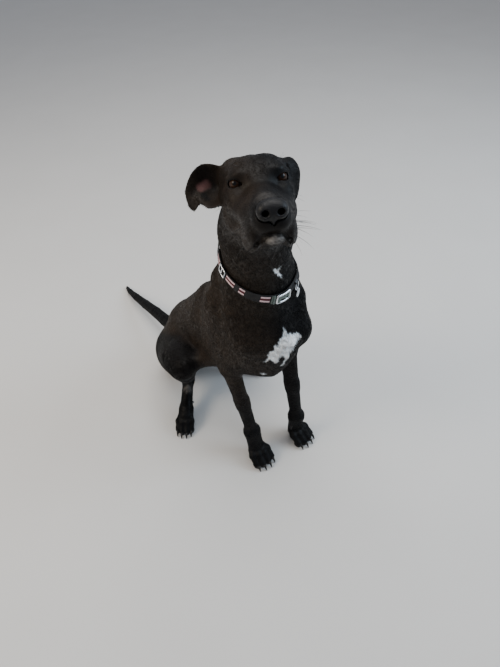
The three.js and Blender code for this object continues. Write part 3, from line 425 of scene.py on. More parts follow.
def toe_joints(f, paw, across):
    half = paw["width"] / 2 - 13
    reach = paw["length"] - 9 * across * across - 8
    knuckle = f.at(paw["length"] * 0.22, across * half * 0.72, paw["height"] * 0.86)
    bend = f.at(reach - 24, across * half * 0.98, paw["height"] * 0.76)
    return knuckle, bend, f.at(reach, across * half * 1.04, paw["height"] * 0.36)


def add_paw(field, leg, toes, paw):
    f = paw_axes(leg, toes, paw)
    wide = paw["width"]
    top = f.at(paw["length"] * 0.2, 0, paw["height"] * 0.74)
    field.add(16, limb(leg, top, wide * 0.29, wide * 0.3, f.rows[1], 1.12))
    for across in TOES:
        knuckle, bend, tip = toe_joints(f, paw, across)
        thick = wide * 0.148
        field.add(7, limb(knuckle, bend, thick * 1.04, thick), limb(bend, tip, thick, thick * 0.94))
        field.add(4, egg(tip + f.along(-5, 0, 5 - tip[2]), (14, 9.5, 8), f))
    field.add(8, egg(f.at(paw["length"] * 0.3, 0, 11), (22, wide * 0.27, 14), f))


TAIL = (
    ((0, 552, 160), 34),
    ((0, 612, 114), 28),
    ((2, 695, 97), 24),
    ((6, 780, 78), 22),
    ((8, 870, 56), 19.5),
    ((10, 960, 35), 16),
    ((15, 1035, 16), 12),
    ((21, 1072, 8), 8.5),
    ((24, 1084, 6), 6.5),
)


def add_tail(field):
    for i, ((a, ra), (b, rb)) in enumerate(zip(TAIL, TAIL[1:])):
        field.add(4 if i else 34, limb(a, b, ra, rb))


def add_skull(field):
    field.add(20, egg(HEAD.at(-78, 0, -6), (92, 60, 50), HEAD))
    field.add(18, limb(HEAD.at(-120, 0, 16), HEAD.at(-156, 0, 2), 28, 20))
    field.add(24, limb(HEAD.at(8, 0, -30), HEAD.at(114, 0, -44), 29, 25, HEAD.rows[1], 1.02))
    for side in SIDES.values():
        p = partial(on_head, side)
        field.add(16, egg(p(-36, 21, 10), (46, 33, 33), HEAD))
        field.add(16, egg(p(-92, 36, 1 if side > 0 else 6), (52, 32, 38), HEAD))
        field.add(14, limb(p(-2, 44, -20), p(-76, 53, -22), 14, 17))
        field.add(18, egg(p(-54, 42, -54), (46, 26, 44), HEAD))
        field.add(10, egg(p(-10, 35, 15), (20, 15, 10), HEAD))
        field.add(18, limb(p(20, 15, -40), p(116, 11, -50), 22, 20))
        field.add(18, limb(p(-8, 40, -40), p(56, 27, -56), 21, 19))
        field.add(14, limb(p(116, 14, -62), p(64, 28, -84), 13, 17))
        field.add(12, egg(p(72, 29, -76), (44, 17, 32), HEAD), egg(p(48, 34, -94), (32, 13, 22), HEAD))
        field.add(10, egg(p(122, 11, -60), (16, 16, 16), HEAD))


def add_jaw(field):
    field.add(16, limb(HEAD.at(16, 0, -84), HEAD.at(-70, 0, -92), 30, 52))
    for side in SIDES.values():
        p = partial(on_head, side)
        field.add(10, limb(p(106, 11, -86), p(10, 26, -80), 11, 17))
        field.add(16, limb(p(10, 26, -80), p(-50, 40, -66), 18, 28))
    field.add(5, egg(HEAD.at(112, 0, -88), (20, 21, 12), HEAD))


def gaze_axes(side):
    """The middle of an eye, and the way that its lids open."""
    return Axes(on_head(side, *EYE_AT), HEAD.along(0.82, 0.52 * side, 0.12), HEAD.rows[2])


def add_lids(field):
    for side in SIDES.values():
        gaze = gaze_axes(side)
        r = EYE_RADIUS + LID
        field.add(9, egg(gaze.origin, (r, r * 1.08, r * 0.98), gaze))
        field.add(5, limb(gaze.at(9, -13 * side, 8), gaze.at(9, 12 * side, 9), 5, 5))
        field.cut(2, egg(gaze.at(15, 0, -1.4), (14, 12.3, 5.6), gaze))
        field.cut(2, egg(gaze.at(9, -12 * side, -3), (8, 5, 2.6), gaze))


MOUTH = ((136, 0, -77), (127, 15, -79), (106, 27, -92), (78, 35, -109), (52, 41, -115), (28, 44, -104))


def add_grooves(field):
    for side in SIDES.values():
        line = [on_head(side, *p) for p in MOUTH]
        field.cut(3, *(limb(p, q, 2.4, 2.4) for p, q in zip(line, line[1:])))
    field.cut(3, limb(HEAD.at(147, 0, -48), HEAD.at(145, 0, -76), 1.8, 1.8))


# The ears are thick sheets through rows of points in the head's frame, from the root to the tip.
RIGHT_EAR = (
    ((-85, -50, 26), (-96, -50, 12), (-102, -52, -8), (-88, -54, -24), (-70, -56, -32)),
    ((-86, -76, 37), (-102, -80, 20), (-110, -80, -4), (-94, -82, -26), (-66, -86, -40)),
    ((-90, -98, 38), (-101, -102, 20), (-106, -103, 0), (-92, -103, -20), (-70, -98, -37)),
    ((-92, -119, 22), (-96, -120, 8), (-97, -118, -6), (-90, -114, -18), (-79, -107, -29)),
    ((-90, -133, -6), (-91, -128, -14), (-90, -123, -20), (-87, -118, -26), (-82, -113, -32)),
    ((-84, -131, -31), (-83, -128, -36), (-82, -125, -39), (-81, -121, -40), (-80, -118, -38)),
)
LEFT_EAR = (
    ((-60, 48, 20), (-74, 48, 25), (-90, 48, 26), (-106, 46, 22), (-118, 44, 15)),
    ((-58, 62, 22), (-74, 71, 27), (-91, 74, 27), (-108, 71, 21), (-122, 65, 12)),
    ((-56, 66, 6), (-74, 82, 8), (-92, 88, 7), (-110, 85, 2), (-126, 77, -5)),
    ((-58, 67, -17), (-74, 80, -17), (-90, 86, -19), (-106, 84, -21), (-120, 79, -23)),
    ((-64, 69, -37), (-75, 76, -39), (-86, 79, -41), (-97, 78, -41), (-106, 76, -39)),
    ((-73, 72, -46), (-79, 73, -49), (-84, 74, -50), (-90, 74, -49), (-95, 74, -46)),
)
EAR_THICK = 5.0
EAR_GRID = (44, 60)


def spline(points, t):
    """Catmull-Rom through rows of values at t from 0 to 1."""
    x = np.asarray(t) * (len(points) - 1)
    i = np.minimum(x.astype(int), len(points) - 2)
    f = (x - i)[:, None]
    a, b, c, d = (points[np.clip(i + n, 0, len(points) - 1)] for n in (-1, 0, 1, 2))
    return b + f / 2 * (c - a + f * (2 * a - 5 * b + 4 * c - d + f * (3 * (b - c) + d - a)))


class Ear:
    """The middle sheet of an ear, and how far points are from its skin."""

    def __init__(self, rows):
        across, down = EAR_GRID
        rows = np.array([[HEAD.at(*p) for p in row] for row in rows])
        u, v = np.linspace(0, 1, across + 1), np.linspace(0, 1, down + 1)
        fine = np.array([spline(row, u) for row in rows])
        points = spline(fine.reshape(len(rows), -1), v).reshape(-1, 3)
        index = np.arange((across + 1) * (down + 1)).reshape(down + 1, across + 1)
        quads = np.stack([index[:-1, :-1], index[:-1, 1:], index[1:, 1:], index[1:, :-1]], -1).reshape(-1, 4)
        self.tree = BVHTree.FromPolygons(points.tolist(), quads.tolist())
        self.u = np.repeat(((u[1:] + u[:-1]) / 2)[None], down, 0).ravel()
        self.v = np.repeat(((v[1:] + v[:-1]) / 2)[:, None], across, 1).ravel()
        self.low, self.high = points.min(0) - 4, points.max(0) + 4

    def __call__(self, p):
        found = [self.tree.find_nearest(q) for q in p.tolist()]
        distance, face = np.array([f[3] for f in found]), np.array([f[2] for f in found], int)
        u, v = self.u[face], self.v[face]
        rim = np.minimum(1, np.minimum(4 * np.minimum(u, 1 - u), 5 * (1 - v)))
        return distance - EAR_THICK / 2 * (0.45 + 0.55 * rim) - COAT_DEPTH


def flesh_field():
    field = Field()
    add_trunk(field)
    add_neck(field)
    for side in SIDES.values():
        add_foreleg(field, side)
        add_hindleg(field, side)
        add_paw(field, CARPUS[side], FORE_TOES[side], FORE_PAW)
        hock, toes = mirrored(HOCK, side), HIND_TOES[side]
        add_paw(field, mix(hock, toes, 0.5), toes, HIND_PAW)
    add_tail(field)
    add_skull(field)
    add_jaw(field)
    add_lids(field)
    add_grooves(field)
    return field


NOSE_MIDDLE = HEAD.at(137, 0, -44)


def nose_field(swell=0.0):
    """The nose pad; swollen and without its nostrils it is the hollow that the pad sits in."""
    field = Field()
    field.add(6, egg(HEAD.at(137, 0, -38), np.array((15, 22, 17)) + swell, HEAD))
    for side in SIDES.values():
        p = partial(on_head, side)
        field.add(8, egg(p(138, 13, -41), np.array((13, 12, 14)) + swell, HEAD))
        if not swell:
            field.cut(3, limb(p(160, 10, -46), p(138, 14, -40), 6.4, 4.4))
            field.cut(2, limb(p(152, 15, -48), p(142, 27, -50), 3.0, 2.2))
    field.add(5, limb(HEAD.at(139, 0, -52), HEAD.at(136, 0, -60), 5.5 + swell, 3 + swell))
    if not swell:
        field.cut(2, limb(HEAD.at(155, 0, -42), HEAD.at(148, 0, -70), 1.4, 1.4))
    return field


BLOCK = 4


def net(field, low, high, cell):
    """The surface of a field as a net of quads, one point in each cell that the surface crosses."""
    # The field is measured on coarse blocks first, and cell by cell only in those near the surface.
    low = np.asarray(low, float)
    coarse = cell * BLOCK
    blocks = np.ceil((np.asarray(high) - low) / coarse).astype(int)
    n = blocks * BLOCK + 1
    corner = np.stack(np.meshgrid(*(np.arange(b + 1) for b in blocks), indexing="ij"), -1)
    rough = field.at(low + corner.reshape(-1, 3) * coarse).reshape(blocks + 1)
    value = rough
    for axis in range(3):
        value = np.repeat(value, BLOCK, axis)
    value = value[: n[0], : n[1], : n[2]].copy()
    wanted = np.zeros(n, bool)
    near = np.abs(rough) < coarse * 1.25
    shifts = [np.array(s) for s in np.ndindex(2, 2, 2)]
    parts = [near[tuple(slice(s[a], blocks[a] + s[a]) for a in range(3))] for s in shifts]
    for i, j, k in np.argwhere(np.any(parts, 0)) * BLOCK:
        wanted[i : i + BLOCK + 1, j : j + BLOCK + 1, k : k + BLOCK + 1] = True
    fine = np.argwhere(wanted)
    value[wanted] = field.at(low + fine * cell)
    # The walls of the box count as outside, which closes the net.
    for axis in range(3):
        for end in (0, -1):
            wall = [slice(None)] * 3
            wall[axis] = end
            value[tuple(wall)] = np.maximum(value[tuple(wall)], cell / 2)
    # Each cell's point is the mean of the places where the surface crosses the cell's edges.
    inside = value < 0
    total, count = np.zeros((*(n - 1), 3)), np.zeros(n - 1)
    crossings = []
    for axis in range(3):
        a = [slice(None)] * 3
        b = [slice(None)] * 3
        a[axis], b[axis] = slice(0, -1), slice(1, None)
        va, vb = value[tuple(a)], value[tuple(b)]
        at = np.argwhere(inside[tuple(a)] != inside[tuple(b)])
        fa, fb = va[tuple(at.T)], vb[tuple(at.T)]
        point = at.astype(float)
        point[:, axis] += fa / (fa - fb)
        crossings.append((at, fa < 0))
        others = [o for o in range(3) if o != axis]
        for s in np.ndindex(2, 2):
            cells = at.copy()
            cells[:, others[0]] -= s[0]
            cells[:, others[1]] -= s[1]
            ok = ((cells >= 0) & (cells < n - 1)).all(1)
            np.add.at(total, tuple(cells[ok].T), point[ok])
            np.add.at(count, tuple(cells[ok].T), 1)
    used = count > 0
    index = np.full(n - 1, -1)
    index[used] = np.arange(used.sum())
    points = low + total[used] / count[used][:, None] * cell
    # Each crossed edge gets a face through the four cells round it.
    quads = []
    for axis, (at, out) in enumerate(crossings):
        o1, o2 = (axis + 1) % 3, (axis + 2) % 3
        ring = []
        for s1, s2 in ((1, 1), (0, 1), (0, 0), (1, 0)):
            cells = at.copy()
            cells[:, o1] -= s1
            cells[:, o2] -= s2
            ring.append(index[tuple(cells.T)])
        ring = np.stack(ring, 1)
        quads.append(np.where(out[:, None], ring, ring[:, ::-1]))
    return points, np.concatenate(quads)


def settle(points, field, depth, rounds=3):
    """Moves points onto the surface that lies a depth inside the field's."""
    for _ in range(rounds):
        g = field.gradient(points)
        step = (field.at(points) + depth) / np.maximum(np.einsum("ij,ij->i", g, g), 0.2)
        points = points - np.clip(g * step[:, None], -2.5, 2.5)
    return points


def mesh_object(name, points, faces, material):
    mesh = bpy.data.meshes.new(name)
    mesh.from_pydata(place(points).tolist(), [], [list(f) for f in faces])
    mesh.polygons.foreach_set("use_smooth", [True] * len(mesh.polygons))
    mesh.materials.append(material)
    made = bpy.data.objects.new(name, mesh)
    bpy.context.scene.collection.objects.link(made)
    return made


flesh = flesh_field()
ears = {"right": Ear(RIGHT_EAR), "left": Ear(LEFT_EAR)}
for ear in ears.values():
    flesh.add(7, (ear, ear.low, ear.high))
NOSE_GAP, EYE_GAP = 0.6, 0.25
flesh.cut(1.5, (nose_field(NOSE_GAP).at, NOSE_MIDDLE - 30, NOSE_MIDDLE + 30))
for side in SIDES.values():
    flesh.cut(0.8, egg(gaze_axes(side).origin, (EYE_RADIUS + EYE_GAP,) * 3, HEAD))


def half_space(origin, normal):
    origin, normal = np.asarray(origin, float), unit(normal)
    return (lambda p: (p - origin) @ normal), np.full(3, -1e5), np.full(3, 1e5)


def limited(field, origin, normal):
    part = Field()
    part.parts = list(field.parts)
    part.cut(0.5, half_space(origin, normal))
    return part


# Two nets make the skin, a fine one for the head and a plainer one for the body. They overlap under the
# collar.
COLLAR_AT, COLLAR_TILT, COLLAR_TURN = (-8, 100, 728), math.radians(22), math.radians(-11)
COLLAR_FRONT = (
    -math.sin(COLLAR_TURN) * math.cos(COLLAR_TILT),
    -math.cos(COLLAR_TURN) * math.cos(COLLAR_TILT),
    -math.sin(COLLAR_TILT),
)
RING = Axes(COLLAR_AT, COLLAR_FRONT, (0, 0, 1))
HEAD_CELL, BODY_CELL = ((2.7, 5.2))
OVERLAP = 5

upper = limited(flesh, RING.at(0, 0, -OVERLAP), RING.rows[2])
head_points, head_faces = net(upper, (-290, -180, 640), (130, 250, 1110), HEAD_CELL)
head_points = settle(head_points, upper, COAT_DEPTH)
lower = limited(flesh, RING.at(0, 0, OVERLAP), -RING.rows[2])
body_points, body_faces = net(lower, (-300, -130, -12), (300, 1110, 800), BODY_CELL)
body_points = settle(body_points, lower, COAT_DEPTH)


def zone(points, low, high):
    return ((points > low) & (points < high)).all(1)


def refine(points, faces, chosen):
    """Halves the edges whose two ends are chosen."""
    work = bmesh.new()
    mesh = bpy.data.meshes.new("work")
    mesh.from_pydata(points.tolist(), [], faces.tolist())
    work.from_mesh(mesh)
    work.verts.ensure_lookup_table()
    edges = [e for e in work.edges if chosen[e.verts[0].index] and chosen[e.verts[1].index]]
    bmesh.ops.subdivide_edges(work, edges=edges, cuts=1, use_grid_fill=True)
    bmesh.ops.triangulate(work, faces=[f for f in work.faces if len(f.verts) > 4])
    found = np.array([v.co for v in work.verts])
    lists = [[v.index for v in f.verts] for f in work.faces]
    work.free()
    bpy.data.meshes.remove(mesh)
    return found, lists


# The paws and the blaze need a finer net than the rest of the body. Their boxes are counted from the wrist,
# the hind toes and the dog's own origin.
FOREPAW_BOX = ((-60, -150, -20), (60, 50, 90))
HINDPAW_BOX = ((-75, -60, -20), (75, 110, 75))
BLAZE_BOX = ((-72, -60, 440), (52, 30, 610))
FOOT_TOP = 100

fine_part = zone(body_points, *BLAZE_BOX)
for side in SIDES.values():
    for foot, (low, high) in ((CARPUS[side], FOREPAW_BOX), (HIND_TOES[side], HINDPAW_BOX)):
        on_floor = np.array((foot[0], foot[1], 0))
        fine_part |= zone(body_points, on_floor + low, on_floor + high)
body_points, body_faces = refine(body_points, body_faces, fine_part)
low_foot = body_points[:, 2] < FOOT_TOP
body_points[low_foot] = settle(body_points[low_foot], lower, COAT_DEPTH, 2)

# What the coat's colour is at each point: black; browner on the flank, shoulder, cheek and lower head, most
# on the dog's right side, partly sun-bleached hair and partly a painted warm sheen where the warm light
# falls; a white blaze on the chest, a white fleck on the throat, a greying chin, a painted pale highlight on
# the bridge of the nose, thin skin at the belly and inside the ear, and painted shade in the ear canal.
BLACK, BROWN_AND_WARM_SHEEN, WHITE = (0.003, 0.003, 0.0033), (0.021, 0.0145, 0.0098), (0.88, 0.95, 1.0)
GREY, PINK, EAR_PINK = (0.23, 0.215, 0.2), (0.36, 0.17, 0.13), (0.15, 0.075, 0.07)
# The dark of the lid rims, which is also used as painted shade in the ear canal.
LID_RIM_AND_CANAL_SHADE = (0.004, 0.0035, 0.0035)
BLAZE = (
    (-10, 594), (-6, 576), (4, 572), (15, 564), (25, 560), (37, 546), (14, 548), (9, 541), (0, 541),
    (-5, 534), (-13, 531), (-14, 512), (-17, 490), (-16, 470), (-22, 462), (-18, 480), (-21, 500),
    (-24, 516), (-30, 521), (-34, 505), (-33, 482), (-41, 493), (-48, 503), (-57, 490), (-52, 512),
    (-56, 520), (-50, 533), (-44, 538), (-40, 552), (-31, 560), (-26, 572), (-19, 574), (-16, 583),
)
FLECK = (((-31, 776), (-20, 760), 4.2), ((-20, 760), (-10, 746), 3.0), ((-19, 779), (-22, 764), 2.4))
CHEST_MARK, CHEST_MARK_RADIUS = (-42, 36, 408), 8
HOCK_MARK, HOCK_MARK_RADIUS = (-118, 360, 88), 13
CHIN, CHIN_RADII = (128, -2, -87), (10, 15, 7)
# Where the painted highlight on the bridge of the nose lies, and its size.
BRIDGE_HIGHLIGHT, BRIDGE_HIGHLIGHT_RADII = (112, -6, -18), (24, 14, 14)
GROIN = ((60, 262, 252), (57, 330, 216), 13)
THIGH = ((105, 470, 170), (150, 318, 268), 78)
EAR_LINING = ((-104, -91, 3), (-101, -102, 0), 8)
EAR_CANAL_SHADE = ((-94, -99, -17), (-86, -92, -22), 7)
LID_WIDE, LID_TALL, LID_DROP = 14.5, 9.5, 0.6


def ripple(p, size, seed):
    """A soft noise from -1 to 1 at each point."""
    rng = np.random.default_rng(seed)
    total = 0
    for _ in range(6):
        wave = unit(rng.normal(size=3)) * rng.uniform(3, 9) / size
        total = total + np.sin(p @ wave + rng.uniform(0, 6.3))
    return total / 3.2


def fade(distance, width):
    """From one inside to nought outside, over a width round the edge."""
    return np.clip(0.5 - distance / width, 0, 1)[:, None]


def from_polygon(x, y, corners):
    """Distance from a flat outline, negative inside."""
    a = np.array(corners, float)
    b = np.roll(a, -1, 0)
    q = np.stack([x, y], 1)[:, None]
    w = b - a
    t = np.clip(((q - a) * w).sum(2) / (w * w).sum(1), 0, 1)
    near = np.linalg.norm(q - a - t[..., None] * w, axis=2).min(1)
    crosses = (a[:, 1] > q[..., 1]) != (b[:, 1] > q[..., 1])
    rise = np.where(np.abs(w[:, 1]) < 1e-9, 1e-9, w[:, 1])
    left = q[..., 0] < a[:, 0] + (q[..., 1] - a[:, 1]) * w[:, 0] / rise
    return np.where((crosses & left).sum(1) % 2 == 1, -near, near)


def from_stroke(p, a, b, half):
    """Distance of each point from a straight stroke between two places, half its width thick on each side."""
    a, b = np.asarray(a, float), np.asarray(b, float)
    t = np.clip((p - a) @ (b - a) / ((b - a) @ (b - a)), 0, 1)
    return np.linalg.norm(p - a - t[:, None] * (b - a), axis=1) - half


def from_egg(p, centre, radii, scale):
    """Distance of each point from an egg's edge, near enough where scale is about its radius."""
    return (np.linalg.norm((p - np.array(centre)) / radii, axis=1) - 1) * scale


def coat_colour(p, normal):
    colour = np.tile(np.array(BLACK), (len(p), 1))

    def paint(amount, tone):
        nonlocal colour
        colour = colour * (1 - amount) + np.array(tone) * amount

    head = (p - HEAD.origin) @ HEAD.rows.T
    high = fade(60 - (p[:, 2] - 830), 60)
    # Painted warm sheen, partly also the hair's own sun-bleached brown: the flank, shoulder, cheek and lower
    # head are browned, far more on the dog's right side, where the warm light falls, than on its left.
    flank = fade(-(p[:, 1] - 90) + 60 * ripple(p, 160, 1), 160) * fade(np.abs(p[:, 2] - 420) - 230, 120)
    paint(0.85 * flank * fade(p[:, 0] + 10, 60), BROWN_AND_WARM_SHEEN)
    paint(0.35 * flank * fade(-p[:, 0] + 10, 60), BROWN_AND_WARM_SHEEN)
    shoulder = fade(p[:, 0] + 34 + 14 * ripple(p, 120, 11), 60) * fade(np.abs(p[:, 2] - 620) - 240, 120)
    paint(0.7 * shoulder * fade(p[:, 1] - 300, 160), BROWN_AND_WARM_SHEEN)
    cheek = fade(head[:, 1] + 8 + 10 * ripple(p, 60, 2), 40) * high * fade(np.abs(head[:, 0] + 10) - 110, 60)
    paint(0.6 * cheek, BROWN_AND_WARM_SHEEN)
    paint(0.3 * high * fade(head[:, 2] + 60, 40), BROWN_AND_WARM_SHEEN)

    edge = 2.2 * ripple(p, 14, 3) + 1.2 * ripple(p, 6, 4)
    chest = zone(p, (-75, -75, 440), (55, 40, 610))
    blaze = np.full(len(p), 99.0)
    blaze[chest] = from_polygon(p[chest, 0], p[chest, 2], BLAZE)
    paint(fade(blaze + edge * 0.7, 3.5), WHITE)
    fleck = np.minimum.reduce([from_stroke(p[:, [0, 2]], *stroke) for stroke in FLECK])
    paint(fade(fleck + edge * 0.6, 2.5) * fade(np.abs(p[:, 1] - 5) - 24, 4), WHITE)
    chest_mark = np.linalg.norm(p - np.array(CHEST_MARK), axis=1) - CHEST_MARK_RADIUS
    paint(0.7 * fade(chest_mark + edge, 6), WHITE)
    hock_mark = np.linalg.norm(p - np.array(HOCK_MARK), axis=1) - HOCK_MARK_RADIUS
    paint(0.35 * fade(hock_mark + edge * 2, 10), GREY)
    grizzle = 0.65 + 0.35 * ripple(p, 3, 8)[:, None]
    paint(0.8 * fade(from_egg(head, CHIN, CHIN_RADII, 7) + edge, 5) * grizzle, GREY)
    # Painted highlight: a faint pale patch on the bridge of the nose, where the light's sheen falls.
    paint(0.11 * fade(from_egg(head, BRIDGE_HIGHLIGHT, BRIDGE_HIGHLIGHT_RADII, 14) + edge, 14), GREY)

    for side in SIDES.values():
        groin, thigh = ((mirrored(a, side), mirrored(b, side), half) for a, b, half in (GROIN, THIGH))
        paint(0.8 * fade(from_stroke(p, *groin) + 3 * ripple(p, 30, 9), 9), PINK)
        paint(0.9 * fade(from_stroke(p, *thigh) + 8 * ripple(p, 90, 10), 26), BLACK)
    for side in SIDES.values():
        gaze = gaze_axes(side)
        q = (p - gaze.origin) @ gaze.rows.T
        rim = np.hypot(q[:, 1] / LID_WIDE, (q[:, 2] + LID_DROP) / LID_TALL)
        paint(0.95 * fade((rim - 1) * 12, 6) * fade(-q[:, 0], 4), LID_RIM_AND_CANAL_SHADE)

    ear = ears["right"]
    near = zone(p, ear.low - 4, ear.high + 4)
    if near.any():
        lining = fade(from_stroke(head[near], *EAR_LINING) + 1.5 * ripple(p[near], 20, 5), 7)
        faces_front = normal[near] @ HEAD.along(1, -0.4, 0.3) > 0
        amount = np.zeros((len(p), 1))
        amount[near] = lining * faces_front[:, None]
        paint(0.85 * amount, EAR_PINK)
        # Painted shade: the opening of the ear canal is painted near black, in the dark lid colour.
        paint(0.95 * fade(from_stroke(head, *EAR_CANAL_SHADE), 5), LID_RIM_AND_CANAL_SHADE)
    return np.clip(colour * (1 + 0.1 * ripple(p, 40, 6))[:, None], 0.001, 1)


def coat_material(name, fine):
    """Short glossy hair: each point's own colour, mottled, with a fine relief and a sheen at the edges."""
    made, n, shader = surface(
        name, Roughness=0.44, Sheen_Weight=0.015, Sheen_Roughness=0.3, Specular_IOR_Level=0.12
    )
    spot = n.add("ShaderNodeTexCoord").outputs["Object"]
    tint = n.add("ShaderNodeAttribute", attribute_name="tint").outputs["Color"]
    mottled = n.add("ShaderNodeVectorMath", operation="SCALE")
    n.put(mottled.inputs[0], tint)
    n.put(mottled.inputs["Scale"], n.uneven(spot, 38.0, 3.0, 0.72, 1.3))
    n.put(shader.inputs["Base Color"], mottled.outputs[0])
    n.put(shader.inputs["Roughness"], n.uneven(spot, 90.0, 3.0, 0.4, 0.56))
    waves = n.bump(n.noise(spot, 60.0, 3.0), 0.25, 0.002)
    n.put(shader.inputs["Normal"], n.bump(n.noise(spot, fine, 2.0), 0.35, 0.0006, waves))
    return made


def write_tint(mesh, colours):
    attribute = mesh.color_attributes.new("tint", "FLOAT_COLOR", "POINT")
    attribute.data.foreach_set("color", np.concatenate([colours, np.ones((len(colours), 1))], 1).ravel())


def point_normals(mesh):
    normals = np.empty(len(mesh.vertices) * 3)
    mesh.vertices.foreach_get("normal", normals)
    return normals.reshape(-1, 3)


ABOVE_FLOOR = 0.6
coat = coat_material("short_coat", 900.0)
body_points[:, 2] = np.maximum(body_points[:, 2], ABOVE_FLOOR)
points = np.concatenate([head_points, body_points])
faces = head_faces.tolist() + [[i + len(head_points) for i in f] for f in body_faces]
skin = mesh_object("skin", points, faces, coat)
skin_normals = point_normals(skin.data)
write_tint(skin.data, coat_colour(points, skin_normals))
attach(skin, "root")
SKIN_NODES = ["head", "neck", "torso", "tail"] + [
    f"{part}_{side}"
    for part in ("ear", "foreleg", "forepaw", "thigh", "hindleg", "hindpaw")
    for side in SIDES
]
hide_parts(*SKIN_NODES)


# Coat
# Short hair in small tufts that lie back along the body, smallest on the face and feet. They break the
# outline and the shine of the skin; each is three thin closed spikes on one root.
TUFTS = 96000
TUFTS_IN_PIECE = 16000
HAIR = {"body": 11.0, "head": 7.5, "muzzle": 4.2, "eye": 4.0, "ear": 5.0, "foot": 4.6, "leg": 8.0}
HAIR_WIDE, HAIR_LIFT = 0.075, 0.09

# Lines that the hair lies along, each with the width that it rules: on the head in its own frame, along the
# middle of the body, on each side, down the legs and along the tail.
HEAD_LINES = (
    ((140, 0, -10), (20, 0, 10), 34),
    ((20, 0, 20), (-150, 0, 40), 50),
    ((110, 22, -60), (-60, 55, -50), 34),
    ((110, -22, -60), (-60, -55, -50), 34),
    ((110, 0, -110), (-60, 0, -110), 36),
    ((-80, -60, 20), (-92, -105, 20), 22),
    ((-92, -105, 20), (-84, -128, -34), 22),
    ((-90, 60, 34), (-92, 92, 12), 20),
    ((-92, 92, 12), (-86, 78, -54), 20),
)
NAPE_LINE = (HEAD.at(-150, 0, -20), (-10, 170, 700), (0, 300, 540), (0, 480, 320), (0, 590, 140))
NAPE_WIDTHS = (60, 70, 70, 60)
THROAT_LINE = (HEAD.at(-60, 0, -150), (-8, 20, 640), (0, -20, 470), (0, 150, 360), (0, 380, 180))
SIDE_LINES = (
    ((90, 110, 640), (90, 70, 480), 60),
    ((95, 190, 560), (90, 330, 360), 70),
    ((95, 330, 400), (110, 480, 220), 70),
    ((130, 400, 230), (150, 300, 290), 50),
    ((150, 290, 250), (110, 380, 110), 40),
    ((90, 540, 160), (70, 540, 40), 50),
)
lines = [(HEAD.at(*a), HEAD.at(*b), width) for a, b, width in HEAD_LINES]
lines += zip(NAPE_LINE, NAPE_LINE[1:], NAPE_WIDTHS)
lines += [(a, b, 60) for a, b in zip(THROAT_LINE, THROAT_LINE[1:])]
for side in SIDES.values():
    lines += [(mirrored(a, side), mirrored(b, side), width) for a, b, width in SIDE_LINES]
for side in SIDES.values():
    leg = ((side * 80, ELBOW[side][1] - 60, 520), ELBOW[side], CARPUS[side], FORE_TOES[side])
    lines += [(a, b, 40) for a, b in zip(leg, leg[1:])]
    lines.append((mirrored(HOCK, side), HIND_TOES[side], 40))
lines += [(a, b, 30) for (a, _), (b, _) in zip(TAIL, TAIL[1:])]
LIE = [(np.array(a, float), np.array(b, float), width) for a, b, width in lines]


def lie_of_coat(p, normal):
    """The way that the hair lies at each point: along the lines near by, and flat to the skin."""
    total = np.zeros_like(p)
    for a, b, width in LIE:
        gap = from_stroke(p, a, b, 0)
        total += unit(b - a) * np.exp(-((gap / width) ** 2) / 1.4 + 1e-3)[:, None]
    total += 1e-9
    flat = total - normal * np.einsum("ij,ij->i", total, normal)[:, None]
    return flat / np.maximum(np.linalg.norm(flat, axis=1), 1e-9)[:, None]


def scatter(points, faces, normals, weight, count, rng):
    """Random places over the skin, denser where the weight is higher: point, normal, corners and shares."""
    tris = np.array([t for f in faces for t in ([f[0], f[1], f[2]], [f[0], f[2], f[-1]])[: len(f) - 2]])
    a, b, c = (points[tris[:, i]] for i in range(3))
    area = np.linalg.norm(np.cross(b - a, c - a), axis=1) * weight((a + b + c) / 3)
    pick = rng.choice(len(tris), count, p=area / area.sum())
    r1, r2 = np.sqrt(rng.random(count)), rng.random(count)
    share = np.stack([1 - r1, r1 * (1 - r2), r1 * r2], 1)
    at = np.einsum("ij,ijk->ik", share, points[tris[pick]])
    normal = np.einsum("ij,ijk->ik", share, normals[tris[pick]])
    return at, units(normal), tris[pick], share


def from_eyes(p, ahead):
    """Distance of each point from the nearer eye, or from a place ahead of it."""
    return np.minimum(*(np.linalg.norm(p - gaze_axes(s).at(ahead, 0, 0), axis=1) for s in SIDES.values()))


def coat_length(p):
    """Millimetres of hair at each point."""
    length = np.full(len(p), HAIR["body"])
    head = (p - HEAD.origin) @ HEAD.rows.T
    length = np.where(p[:, 2] > 860, HAIR["head"], length)
    length = np.where((p[:, 2] > 830) & (head[:, 0] > 20), HAIR["muzzle"], length)
    length = np.where(from_eyes(p, 0) < 30, HAIR["eye"], length)
    for ear in ears.values():
        length = np.where(zone(p, ear.low, ear.high), HAIR["ear"], length)
    length = np.where(p[:, 2] < 330, np.minimum(length, HAIR["leg"]), length)
    return np.where((p[:, 2] < 110) & (p[:, 1] < 300), HAIR["foot"], length)


def coat_weight(p):
    """How dense the tufts are at each point: more where they are short, none on soles, nose and eyes."""
    head = (p - HEAD.origin) @ HEAD.rows.T
    sole = p[:, 2] < 20
    nose = (head[:, 0] > 128) & (np.abs(head[:, 1]) < 26) & (p[:, 2] > 900)
    eye = from_eyes(p, 10) < 13
    return np.where(sole | nose | eye, 0, (HAIR["body"] / coat_length(p)) ** 1.15)


def unwrap(mesh):
    """Unwraps the skin by its own shape, and gives each face corner's place in that map."""
    bpy.context.view_layer.objects.active = skin
    skin.select_set(True)
    bpy.ops.object.mode_set(mode="EDIT")
    bpy.ops.mesh.select_all(action="SELECT")
    bpy.ops.uv.smart_project(angle_limit=math.radians(66), island_margin=0.002)
    bpy.ops.object.mode_set(mode="OBJECT")
    skin.select_set(False)
    flat = np.empty(len(mesh.loops) * 2)
    mesh.uv_layers.active.data.foreach_get("uv", flat)
    return flat.reshape(-1, 2)


